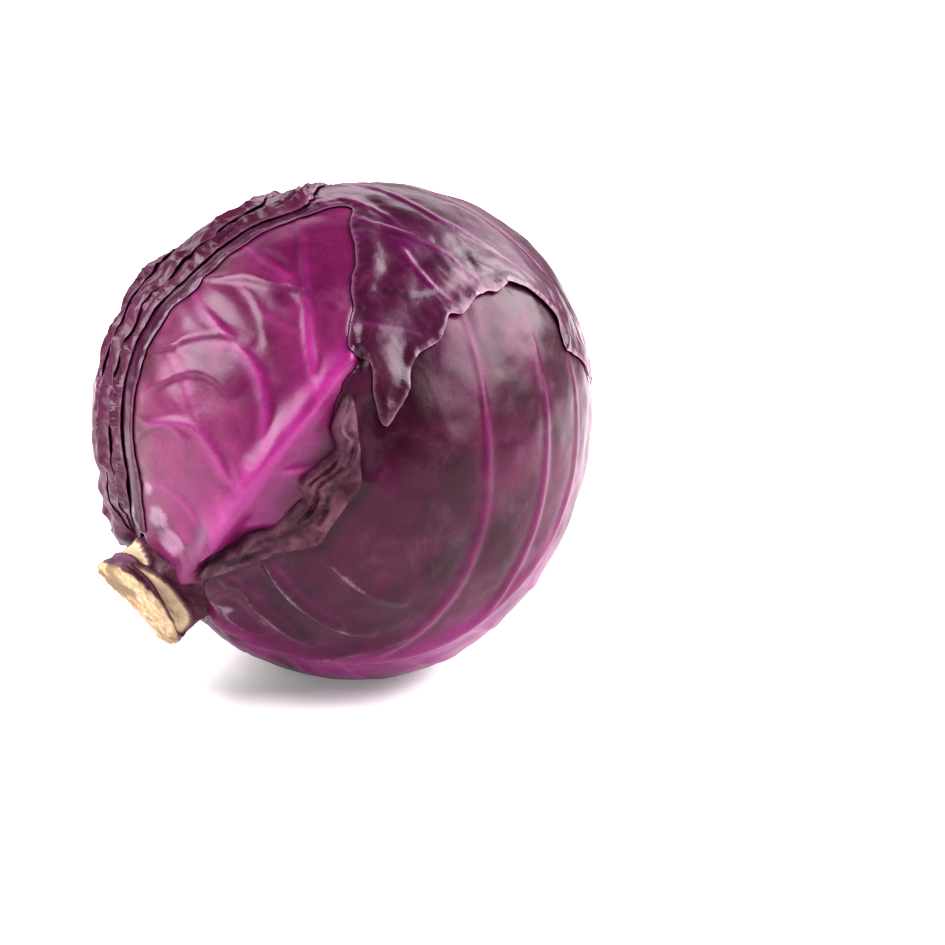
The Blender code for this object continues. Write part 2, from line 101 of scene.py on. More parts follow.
def blurred(field, reach):
    # averages a field over a bell-shaped patch of the same size everywhere on the head
    angle = reach / head["halfWidth"]
    turns = np.fft.rfftfreq(columns, 1 / columns)
    rings = np.fft.rfft(field, axis=1) * np.exp(-0.5 * (turns * angle / np.sin(rowAngles)[:, None]) ** 2)
    field = np.fft.irfft(rings, columns, axis=1)
    meridians = np.vstack([field, np.roll(field[::-1], columns // 2, axis=1)])
    turns = np.fft.rfftfreq(2 * rows, 1 / (2 * rows))[:, None]
    bands = np.fft.rfft(meridians, axis=0) * np.exp(-0.5 * (turns * angle) ** 2)
    return np.fft.irfft(bands, 2 * rows, axis=0)[:rows]


# How the leaves lie on each other
laying = {
    "thickness": 1.0,
    "gap": 0.1,
    "drapeReach": 2.5,        # how closely a leaf follows what is under it
    "drapeSoftness": 0.2,
    "deepestHollow": -8,      # in steps of that softness
    "tuckReach": 8.0,         # how gently the heart gives way under the leaves that cover it
    "tuckSoftness": 1.5,
    "swellReach": 12.0,       # and under their ribs
    "rounds": 4,
    "floorRoom": 1.6,
    "pressedShare": 0.1,      # how much still stands out under another leaf
    "calmFrom": 16.0,         # degrees from straight down, inside which nothing stands out
    "calmTo": 34.0,
    "coverReach": 2.5,        # how softly a leaf's cover begins at its margin
    "freeUntil": (0.65, 0.98),     # shares of cover between which a leaf stops standing out
}


def draped(field, softness, reach):
    base = blurred(field, 3 * reach)
    steps = np.maximum((field - base) / softness, laying["deepestHollow"])
    swollen = np.maximum(blurred(np.exp(steps), reach), math.exp(laying["deepestHollow"]))
    return base + softness * np.log(swollen)


def sampled(field, ways):
    # reads a grid field at any directions, smoothly
    along = np.arccos(np.clip(-ways @ axis, -1, 1))
    turn = np.arctan2(ways @ upper, ways @ front) % (2 * math.pi)
    row = along * rows / math.pi - 0.5
    column = turn * columns / (2 * math.pi)
    top, left = np.floor(row).astype(int), np.floor(column).astype(int)
    down, right = row - top, column - left
    tall = np.vstack([field, np.roll(field[::-1], columns // 2, axis=1)])

    def weights(t):
        return ((1 - t) ** 3 / 6, (3 * t ** 3 - 6 * t ** 2 + 4) / 6,
                (-3 * t ** 3 + 3 * t ** 2 + 3 * t + 1) / 6, t ** 3 / 6)

    result = np.zeros(len(ways))
    for i, rowWeight in enumerate(weights(down)):
        for j, columnWeight in enumerate(weights(right)):
            result += rowWeight * columnWeight * tall[(top + i - 1) % (2 * rows), (left + j - 1) % columns]
    return result


def calm(ways):
    # 0 round the flat spot that the head rests on, 1 away from it
    fromSpot = np.degrees(np.arccos(np.clip(-ways[..., 2], -1, 1)))
    share = np.clip((fromSpot - laying["calmFrom"]) / (laying["calmTo"] - laying["calmFrom"]), 0, 1)
    return share * share * (3 - 2 * share)


class Chart:
    # a leaf laid flat, seen from outside, base down: distances from its middle are true
    def __init__(self, place):
        along, turn = rad(place[0]), rad(place[1])
        self.out = direction(along, turn)
        self.up = direction(along + math.pi / 2, turn)
        self.across = math.sin(turn) * front - math.cos(turn) * upper

    def flat(self, ways):
        angle = np.arccos(np.clip(ways @ self.out, -1, 1))
        stretch = head["halfWidth"] * angle / np.maximum(np.sin(angle), 1e-6)
        return np.stack([ways @ self.across * stretch, ways @ self.up * stretch], -1)

    def places(self, angles):
        angles = np.radians(np.array(angles, float))
        return self.flat(direction(angles[:, 0], angles[:, 1]))

    def ways(self, points):
        length = np.linalg.norm(points, axis=-1, keepdims=True)
        heading = points / np.maximum(length, 1e-9)
        angle = length / head["halfWidth"]
        sideways = heading[..., :1] * self.across + heading[..., 1:] * self.up
        return np.cos(angle) * self.out + np.sin(angle) * sideways


def smoothPath(points, step, closed):
    count = len(points)
    pieces = []
    for span in range(count if closed else count - 1):
        if closed:
            a, b, c, d = (points[(span + k) % count] for k in (-1, 0, 1, 2))
        else:
            a, b, c, d = (points[min(max(span + k, 0), count - 1)] for k in (-1, 0, 1, 2))
        t = np.linspace(0, 1, 24, endpoint=False)[:, None]
        pieces.append(b + 0.5 * t * (c - a + t * (2 * a - 5 * b + 4 * c - d + t * (3 * (b - c) + d - a))))
    pieces.append(points[:1] if closed else points[-1:])
    curve = np.vstack(pieces)
    lengths = np.concatenate([[0], np.cumsum(np.linalg.norm(np.diff(curve, axis=0), axis=1))])
    stops = np.linspace(0, lengths[-1], max(3, round(lengths[-1] / step)) + 1)
    even = np.stack([np.interp(stops, lengths, curve[:, k]) for k in (0, 1)], -1)
    return even[:-1] if closed else even


def nearestOn(points, path):
    # how far each point is from a finely cut path, and which of its cuts is nearest
    distance = np.zeros(len(points))
    index = np.zeros(len(points), int)
    squares = (path ** 2).sum(1)
    for start in range(0, len(points), 8000):
        some = points[start:start + 8000]
        apart = (some ** 2).sum(1)[:, None] + squares - 2 * some @ path.T
        index[start:start + 8000] = apart.argmin(1)
        distance[start:start + 8000] = np.sqrt(np.maximum(apart.min(1), 0))
    return distance, index


def insideOf(points, outline):
    order = np.argsort(points[:, 1])
    x, y = points[order, 0], points[order, 1]
    odd = np.zeros(len(points), bool)
    for (x0, y0), (x1, y1) in zip(outline, np.roll(outline, -1, axis=0)):
        low, high = np.searchsorted(y, sorted((y0, y1)))
        if high > low:
            odd[low:high] ^= x[low:high] < x0 + (y[low:high] - y0) * (x1 - x0) / (y1 - y0)
    result = np.zeros(len(points), bool)
    result[order] = odd
    return result


def softNoise(points, size, seed):
    # smooth lumps between -1 and 1, about that many mm across
    lattice = np.random.default_rng(seed).uniform(-1, 1, (64, 64))
    turned = points @ np.array([[math.cos(seed), -math.sin(seed)], [math.sin(seed), math.cos(seed)]])
    place = turned / size + 32.5
    cell = np.floor(place).astype(int)
    share = place - cell
    share = share ** 3 * (share * (share * 6 - 15) + 10)
    x, y = cell[:, 0], cell[:, 1]
    low = lattice[x % 64, y % 64] * (1 - share[:, 0]) + lattice[(x + 1) % 64, y % 64] * share[:, 0]
    high = lattice[x % 64, (y + 1) % 64] * (1 - share[:, 0])
    high += lattice[(x + 1) % 64, (y + 1) % 64] * share[:, 0]
    return low * (1 - share[:, 1]) + high * share[:, 1]


def waves(path, closed, length, seed):
    # a rise and fall along a margin, of uneven length, between 0 and 1
    count = len(path)
    draw = np.random.default_rng(seed)
    steps = np.linalg.norm(np.diff(path, axis=0), axis=1)
    whole = steps.sum() if steps.size else 1
    knots = max(4, round(whole / length))
    heights = draw.uniform(0, 1, knots)
    heights[::2] = 0.25 * heights[::2]
    places = (np.arange(knots) + draw.uniform(-0.3, 0.3, knots)) / knots
    at = np.arange(count) / count
    if closed:
        places = np.concatenate([places - 1, places, places + 1])
        heights = np.tile(heights, 3)
    fine = np.interp(at, places, heights)
    width = max(3, int(count * 0.3 / knots))
    kernel = np.hanning(width + 2)
    kernel /= kernel.sum()
    padded = np.pad(fine, width, mode="wrap" if closed else "edge")
    return np.convolve(padded, kernel, mode="same")[width:-width]


# Margins that more than one list uses: degrees along the head from the stem and round it
turnLine = [(29, -2), (41, -4), (46, -5), (51, -7), (57, -6), (61, -6), (62, -3), (64, -2), (69, -2),
    (74, -2), (76, 2)]
foldLine = [(19, -10), (24, -5), *turnLine, (80, 4), (84, 4)]      # where the lower leaf folds back
cuffEdge = [(20, -12), (27, -9.5), (33, -10.5), (40, -12.5), (48, -14.5), (52, -16.5), (58, -18.5),
    (61, -17), (68, -14.5), (72, -13.5), (75, -10.5), (80, -3.5)]
raggedMargin = [(93, -4), (97, -1), (101, 1), (107, 0), (110, 1), (114, 3), (118, 1), (125, 2), (131, -1),
    (136, -1), (140, -7), (142, -13), (143, -22)]

# The leaves, from the inmost one out. Edge, ribs, creases and spots are places on the head: degrees
# along it from the stem and degrees round it. The first rib is the midrib. Heights and widths are in
# mm; a rib has its strength, a crease its height and reach, a spot its size and strength.
# What a leaf has where its own values don't say otherwise
commonLeaf = {
    "folds": [], "creases": [], "warm": [], "dull": [], "wax": [], "vein": (1.4, 2.2), "valley": 0.5,
    "float": 0.9, "pleat": (0.0, 4.0, 9.0), "lift": 0.4, "liftReach": 5.0, "wobble": 1.0, "spacing": 1.2,
}
leafFront = {
    **commonLeaf,
    "middle": (80, 4),
    "edge": [(14.5, -14), (28, -45), (50, -64), (80, -70), (112, -64), (138, -54), (152, -20), (150, 30),
        (136, 62), (112, 78), (86, 84), (60, 84), (38, 78), (22, 66), (13.5, 50), (13.5, 14)],
    "ribs": [
        (1.0, [(15, -4), (29, -1), (46, 3), (61, 6), (75, 8), (86, 10), (98, 10), (112, 8), (128, 4)]),
        (1.0, [(72, 7), (78, 8), (82, 14), (87, 21), (94, 29), (101, 38), (108, 49), (113, 60)]),
        (0.7, [(92, 27), (94, 37), (94, 47), (95, 56)]),
        (0.9, [(58, 5), (64, 11), (70, 17), (74, 25), (75, 33), (76, 40), (77, 46), (80, 58)]),
        (0.8, [(42, 3), (50, 7), (52, 14), (54, 20), (55, 28), (53, 35), (49, 44), (48, 56)]),
        (0.6, [(30, 1), (36, 12), (38, 24), (36, 38), (34, 52)]),
        (0.7, [(60, 4), (68, -4), (78, -16), (86, -30), (92, -46)]),
        (0.6, [(44, 1), (52, -8), (62, -22), (70, -40)]),
        (0.5, [(84, 8), (98, 0), (110, -14), (118, -32)]),
        (0.35, [(74, 33), (70, 42), (68, 52)]),
        (0.3, [(86, 22), (84, 32), (86, 44), (85, 56)]),
        (0.35, [(54, 24), (60, 34), (64, 46), (66, 58)])],
    "creases": [
        ([(80, 60), (84, 49), (87, 44), (90, 36), (94, 28), (96, 20)], 1.9, 4.5),
        ([(61, 60), (66, 47), (70, 43), (75, 35), (77, 28)], 1.7, 4.5),
        ([(52, 50), (58, 44), (64, 37), (66, 30), (65, 24)], 1.2, 5.0),
        ([(86, 42), (84, 35), (80, 28), (77, 24)], 0.5, 6.0),
        ([(42, 50), (48, 42), (51, 34), (50, 27)], 0.9, 4.0)],
    "warm": [((104, 42), 20, 1.0), ((112, 26), 20, 1.0), ((100, 30), 14, 0.8), ((92, 8), 9, 0.6),
        ((74, -3), 9, 0.9), ((58, -4), 7, 0.8), ((44, -5), 5, 0.8), ((20, -1), 8, 1.0), ((27, 2), 8, 1.0),
        ((34, 5), 7, 0.8)],
    "dull": [((44, 54), 13, 0.9), ((60, 58), 12, 0.8), ((34, 46), 11, 0.7), ((27, 32), 8, 0.6),
        ((88, 54), 10, 0.7)],
    "wax": [((23, 20), 7, 1.0), ((28, 31), 5, 0.9), ((20, 6), 5, 0.6), ((34, 40), 4, 0.6)],
    "midrib": (5.6, 5.6), "vein": (1.5, 2.3), "valley": 2.6, "float": 1.6, "blister": (1.3, 19.0),
    "crumple": (0.14, 6.0), "lift": 0.0, "liftReach": 6.0, "ruffle": 15.0, "wobble": 0.4, "spacing": 1.0,
    "seed": 11,
}
leafLower = {
    **commonLeaf,
    "middle": (84, -62),
    "edge": [(14.5, -34), (22, -8), *turnLine, (80, 5), (84, 7), (91, 9), (98, 16), (112, 18), (130, 12),
        (146, 0), (156, -34), (160, -72), (158, -108), (132, -132), (98, -140), (70, -148), (48, -146),
        (30, -140), (15, -126)],
    "ribs": [
        (1.0, [(15, -58), (28, -62), (48, -66), (70, -68), (95, -66), (120, -60)]),
        (0.5, [(34, -14), (35, -24), (37, -36), (40, -46)]),
        (0.5, [(45.5, -13), (45.5, -24), (48, -36), (54, -48)]),
        (0.8, [(52, -66), (70, -54), (86, -42), (100, -26), (114, -6), (122, 10)]),
        (0.8, [(80, -67), (96, -56), (112, -42), (126, -24), (136, -6)]),
        (0.6, [(100, -66), (116, -58), (130, -46), (142, -30)])],
    "folds": [
        ([(30, -15), (33, -19), (33.5, -28), (35, -38), (38, -47), (41, -54)], 3.6, 2.2),
        ([(44, -12), (43, -20), (43.5, -28), (46, -37), (50, -46), (56, -53)], 3.4, 2.2),
        ([(15, -84), (19, -70), (24, -62), (31, -60), (40, -61), (50, -58), (64, -58)], 3.4, 2.0),
        ([(22, -20), (24, -28), (22.5, -38), (26, -48), (32, -54)], 3.0, 1.8),
        ([(56, -18), (57, -28), (60, -38), (66, -46)], 1.6, 2.4)],
    "sideVeins": (22.0, (1,), 0.6),
    "creases": [
        ([(21, -17), (26, -17), (30.5, -20), (32, -28)], 1.4, 3.0),
        # the creases along the cuff edge paint the shadow under the turned part, over a slight relief
        (cuffEdge, 0.3, 1.5),
        (cuffEdge[::-1], 0.3, 1.5),
        ([(27, -8.5), (33, -9.5), (40, -11.5), (48, -13.5), (52, -15.5), (58, -17.5), (61, -16),
            (68, -13.5), (72, -12.5), (75, -9.5), (80, -2.5), (84, 3)], 0.5, 2.0)],
    "warm": [((24, -78), 10, 1.0), ((44, -76), 16, 1.0), ((70, -80), 22, 1.0), ((100, -82), 24, 0.6),
        ((106, -4), 14, 0.3), ((124, -16), 16, 0.3)],
    "dull": [((40, -14), 9, 0.4)],
    "wax": [((24, -30), 3, 0.7), ((31, -44), 3, 0.5), ((36, -50), 3, 0.4)],
    "midrib": (2.4, 4.6), "vein": (1.5, 2.2), "valley": 0.6, "blister": (0.7, 14.0), "crumple": (0.15, 6.0),
    "lift": 0.2, "ruffle": 11.0, "wobble": 0.9, "spacing": 1.0, "seed": 12,
}
# The front margin of the lower leaf is folded back on itself, and this is the turned part
leafFold = {
    **commonLeaf,
    "middle": (56, -8),
    "edge": [*foldLine, (80, -2), (75, -9), (72, -12), (68, -13), (61, -15.5), (58, -17), (52, -15),
        (48, -13), (44, -12.5), (40, -11), (33, -9), (27, -8)],
    "foldLine": foldLine,
    "ribs": [
        (1.0, [(24, -7), (34, -6), (46, -9), (57, -11), (68, -8), (78, 0)])],
    "creases": [
        ([(26, -6), (34, -5), (42, -8), (50, -11)], 0.7, 1.5),
        ([(46, -7), (54, -10), (62, -10), (70, -7)], 0.7, 1.5)],
    "midrib": (0.3, 1.2), "vein": (0.3, 0.8), "valley": 0.0, "float": 0.7, "blister": (0.9, 9.0),
    "crumple": (0.8, 3.4), "pleat": (1.8, 3.2, 14.0), "lift": 1.9, "liftReach": 3.0, "ruffle": 8.0,
    "wobble": 0.5, "spacing": 0.6, "seed": 13,
}
leafUnder = {
    **commonLeaf,
    "middle": (82, 200),
    "edge": [(14.5, 175), (17, 212), (30, 238), (42, 252), (54, 256), (66, 256), (80, 252), (106, 248),
        (130, 244), (150, 232), (164, 212), (158, 180), (142, 158), (116, 142), (90, 134), (62, 134),
        (38, 142), (20, 158)],
    "ribs": [
        (1.0, [(16, 196), (40, 198), (70, 200), (100, 200), (126, 196)])],
    "sideVeins": (19.0, (1, -1), 0.8), "midrib": (3.4, 4.6), "blister": (0.8, 13.0), "crumple": (0.2, 6.0),
    "lift": 0.3, "ruffle": 12.0, "wobble": 0.9, "spacing": 1.4, "seed": 14,
}
leafTop = {
    **commonLeaf,
    "middle": (98, 96),
    "edge": [(14.5, 112), (17, 66), (21, 42), (31, 44), (41, 49), (51, 54), (58, 55), (66, 56), (72, 55),
        (79, 53), (84, 53), (95, 53), (102, 52), (109, 51), (118, 48), (120, 45), (115, 39), (111, 32),
        (107, 27), (102, 23), (99, 19), (95, 16), (91, 12), (92, 7), (90, 4), (87, 0), (85, -6),
        *raggedMargin, (140, -29), (139, -34), (144, -64), (154, -100), (162, -160), (154, 175), (132, 172),
        (104, 170), (72, 168), (44, 162), (22, 144)],
    "lifted": (raggedMargin, 1.3),
    "ribs": [
        (1.0, [(16, 100), (40, 102), (70, 104), (100, 103), (126, 98), (150, 80)]),
        (1.0, [(98, 102), (110, 76), (118, 40), (121, 34), (124, 27), (128, 17), (128, 8), (130, 0)]),
        (0.6, [(116, 66), (122, 48), (124, 42), (125, 35), (124, 27)]),
        (0.8, [(114, 100), (128, 70), (135, 35), (138, 24), (141, 14), (144, 1), (145, -15), (143, -26)]),
        (0.7, [(119, 24), (117, 14), (117, 8), (118, 2)]),
        (0.5, [(95, 16), (98, 13), (102, 9), (106, 3)]),
        (0.4, [(36, 102), (48, 86), (56, 70), (62, 58)]),
        (0.4, [(54, 103), (70, 84), (80, 68), (86, 56)]),
        (0.5, [(72, 104), (88, 86), (98, 70), (104, 56)]),
        (0.7, [(130, 96), (146, 60), (154, 20), (156, -20), (152, -50)])],
    "sideVeins": (19.0, (-1,), 0.8),
    "creases": [
        ([(104, 44), (112, 40), (122, 30), (128, 22)], 0.8, 4.0),
        ([(98, 22), (104, 20), (112, 12), (120, 8)], 0.7, 4.0)],
    "warm": [((112, 36), 10, 0.5), ((122, 26), 9, 0.4)],
    "dull": [((93, 4), 9, 0.8), ((150, 40), 20, 0.6)],
    "midrib": (3.6, 4.6), "vein": (1.2, 1.6), "blister": (0.5, 11.0), "crumple": (0.13, 5.0),
    "pleat": (0.4, 3.6, 5.0), "lift": 0.35, "liftReach": 4.5, "ruffle": 13.0, "wobble": 0.6,
    "spacing": 1.05, "seed": 15,
}
leafBack = {
    **commonLeaf,
    "middle": (84, 146),
    "edge": [(14.5, 134), (18, 90), (24, 62), (33, 57), (41, 58), (50, 61), (61, 63), (72, 63), (81, 60),
        (90, 59), (100, 57), (111, 54), (118, 60), (128, 78), (138, 104), (145, 140), (142, 176),
        (124, 200), (98, 210), (72, 212), (50, 206), (30, 196), (18, 176)],
    "ribs": [
        (1.0, [(16, 146), (40, 148), (70, 150), (100, 150), (128, 146)])],
    "sideVeins": (18.0, (1, -1), 0.8), "midrib": (3.4, 4.6), "blister": (1.3, 12.0), "crumple": (0.3, 5.0),
    "pleat": (1.9, 4.2, 11.0), "ruffle": 11.0, "seed": 16,
}
leafLeft = {
    **commonLeaf,
    "middle": (74, 122),
    "edge": [(14.5, 122), (18, 96), (24, 74), (32, 66), (40, 67), (51, 67), (61, 68), (72, 67), (83, 66),
        (94, 66), (107, 68), (117, 82), (122, 104), (120, 130), (110, 152), (90, 168), (66, 172), (42, 166),
        (24, 152)],
    "ribs": [
        (1.0, [(16, 124), (40, 128), (70, 130), (106, 124)])],
    "sideVeins": (17.0, (1, -1), 0.8), "midrib": (3.2, 4.4), "blister": (1.5, 11.0), "crumple": (0.35, 5.0),
    "pleat": (1.9, 4.6, 11.0), "ruffle": 10.0, "seed": 17,
}
leafOuter = {
    **commonLeaf,
    "middle": (58, 118),
    "edge": [(14.5, 112), (19, 96), (26, 84), (34, 79), (46, 77), (58, 79), (70, 76), (84, 81), (94, 98),
        (98, 122), (92, 144), (76, 156), (54, 158), (36, 150), (22, 134)],
    "ribs": [
        (1.0, [(30, 119), (44, 121), (64, 122), (90, 118)])],
    "sideVeins": (16.0, (1, -1), 0.8), "midrib": (3.0, 4.2), "vein": (1.3, 2.2), "blister": (1.7, 10.0),
    "crumple": (0.4, 5.0), "pleat": (2.0, 4.8, 12.0), "lift": 0.9, "ruffle": 9.0, "seed": 18,
}
layers = [("leaf_front", leafFront), ("leaf_lower", leafLower), ("fold", leafFold),
          ("leaf_under", leafUnder), ("leaf_top", leafTop), ("leaf_back", leafBack),
          ("leaf_left", leafLeft), ("leaf_outer", leafOuter)]


# How ribs, creases and margins stand out of every leaf, in mm
form = {
    "pathStep": 0.7,               # how finely margins, ribs and creases are cut
    "foldStep": 0.5,
    "wobbles": (5.0, 2.4),         # lengths of the margin's small waves
    "veinLength": 110,
    "veinBend": (0.35, 180),       # how steeply a side vein leaves the midrib, and how it turns up
    "veinWander": (1.5, 14),
    "ribThinning": 0.72,           # share of its height that a rib loses to its tip
    "midribSides": (1.25, 0.65),   # wider on its left than on its right
    "foldSides": (1.5, 0.7),
    "blushReach": 3.6,
    "calmVeins": 4.5,              # blisters are lower this near a vein
    "creaseShadow": (0.7, 0.9),
    "flatFromStem": (17, 30),      # degrees from the stem end, inside which a margin lies flat
    "marginReach": 16,
    "rimReach": 0.6,
    "thinnest": 0.3,               # share of the full thickness at the margin
    "thinReach": 1.7,
    "hug": 0.95,                   # how close the margins lie on what is under them
    "hugReach": 5.0,
    "turnRadius": 1.8,             # the roll along which a margin is folded back
}


def pathOf(chart, places, step=form["pathStep"]):
    # an open line through places on the head, laid out flat
    return smoothPath(chart.places(places), step, False)


def prepareLeaf(leaf):
    # lays the margin, ribs and creases out flat and finds where the leaf covers the head
    chart = Chart(leaf["middle"])
    leaf["chart"] = chart
    outline = smoothPath(chart.places(leaf["edge"]), form["pathStep"], True)
    sideways = np.roll(outline, -1, axis=0) - np.roll(outline, 1, axis=0)
    sideways = sideways[:, ::-1] * (1, -1) / np.linalg.norm(sideways, axis=1, keepdims=True)
    long, short = form["wobbles"]
    wobble = waves(outline, True, long, leaf["seed"]) + 0.6 * waves(outline, True, short, leaf["seed"] + 50)
    wobble = wobble - 0.6
    outline = outline + sideways * leaf["wobble"] * wobble[:, None]
    leaf["outline"] = outline
    leaf["rise"] = 0.7 * waves(outline, True, leaf["ruffle"], leaf["seed"] + 100)
    leaf["rise"] += 0.3 * waves(outline, True, leaf["ruffle"] * 0.4, leaf["seed"] + 200)
    ribs = [(strength, pathOf(chart, rib)) for strength, rib in leaf["ribs"]]
    if "sideVeins" in leaf:
        gap, sides, sideStrength = leaf["sideVeins"]
        feet = ribs[0][1][::max(1, round(gap / form["pathStep"]))][1:-1]
        reach = np.linspace(0, form["veinLength"], 12)
        steepness, turning = form["veinBend"]
        wander, pitch = form["veinWander"]
        for number, foot in enumerate(feet):
            for side in sides:
                bend = np.stack([side * reach, reach * (steepness + reach / turning)], -1)
                swing = np.stack([np.zeros(12), np.sin(reach / pitch + number * 2 + side)], -1)
                vein = foot + bend + wander * swing
                vein = vein[insideOf(vein, outline)]
                if len(vein) > 2:
                    ribs.append((sideStrength, smoothPath(vein, form["pathStep"], False)))
    leaf["ribPaths"] = ribs
    leaf["creasePaths"] = [(pathOf(chart, path), height, reach) for path, height, reach in leaf["creases"]]
    leaf["foldPaths"] = [(pathOf(chart, path), height, width) for path, height, width in leaf["folds"]]
    flat = chart.flat(grid).reshape(-1, 2)
    covers = insideOf(flat, outline)
    leaf["covers"] = covers.reshape(rows, columns)
    leaf["under"] = np.flatnonzero(covers)
    leaf["gridShape"] = shapeOf(leaf, flat[covers])


def ontoOutline(points, outline):
    # the place on the outline that is nearest to each point, and the nearest of its cuts
    _, index = nearestOn(points, outline)
    corner = outline[index]
    best, found = np.full(len(points), 1e9), corner.copy()
    for step in (-1, 1):
        side = outline[(index + step) % len(outline)] - corner
        share = ((points - corner) * side).sum(1) / np.maximum((side ** 2).sum(1), 1e-9)
        there = corner + side * np.clip(share, 0, 1)[:, None]
        apart = np.linalg.norm(points - there, axis=1)
        found[apart < best] = there[apart < best]
        best = np.minimum(best, apart)
    return found, index


def closeTo(points, path, reach):
    low, high = path.min(axis=0) - reach, path.max(axis=0) + reach
    return np.flatnonzero(((points > low) & (points < high)).all(axis=1))


def signedFrom(points, path):
    # distance from a path, plus on its left
    distance, index = nearestOn(points, path)
    tangent = np.gradient(path, axis=0)[index]
    apart = points - path[index]
    side = np.sign(tangent[:, 0] * apart[:, 1] - tangent[:, 1] * apart[:, 0])
    return distance * side, index / (len(path) - 1)


def softStep(value, low, high):
    share = np.clip((value - low) / (high - low), 0, 1)
    return share * share * (3 - 2 * share)


def bell(value, width):
    # 1 at 0, falling off smoothly over about that width
    return np.exp(-(value / width) ** 2)


def keepMost(field, near, values):
    field[near] = np.maximum(field[near], values)


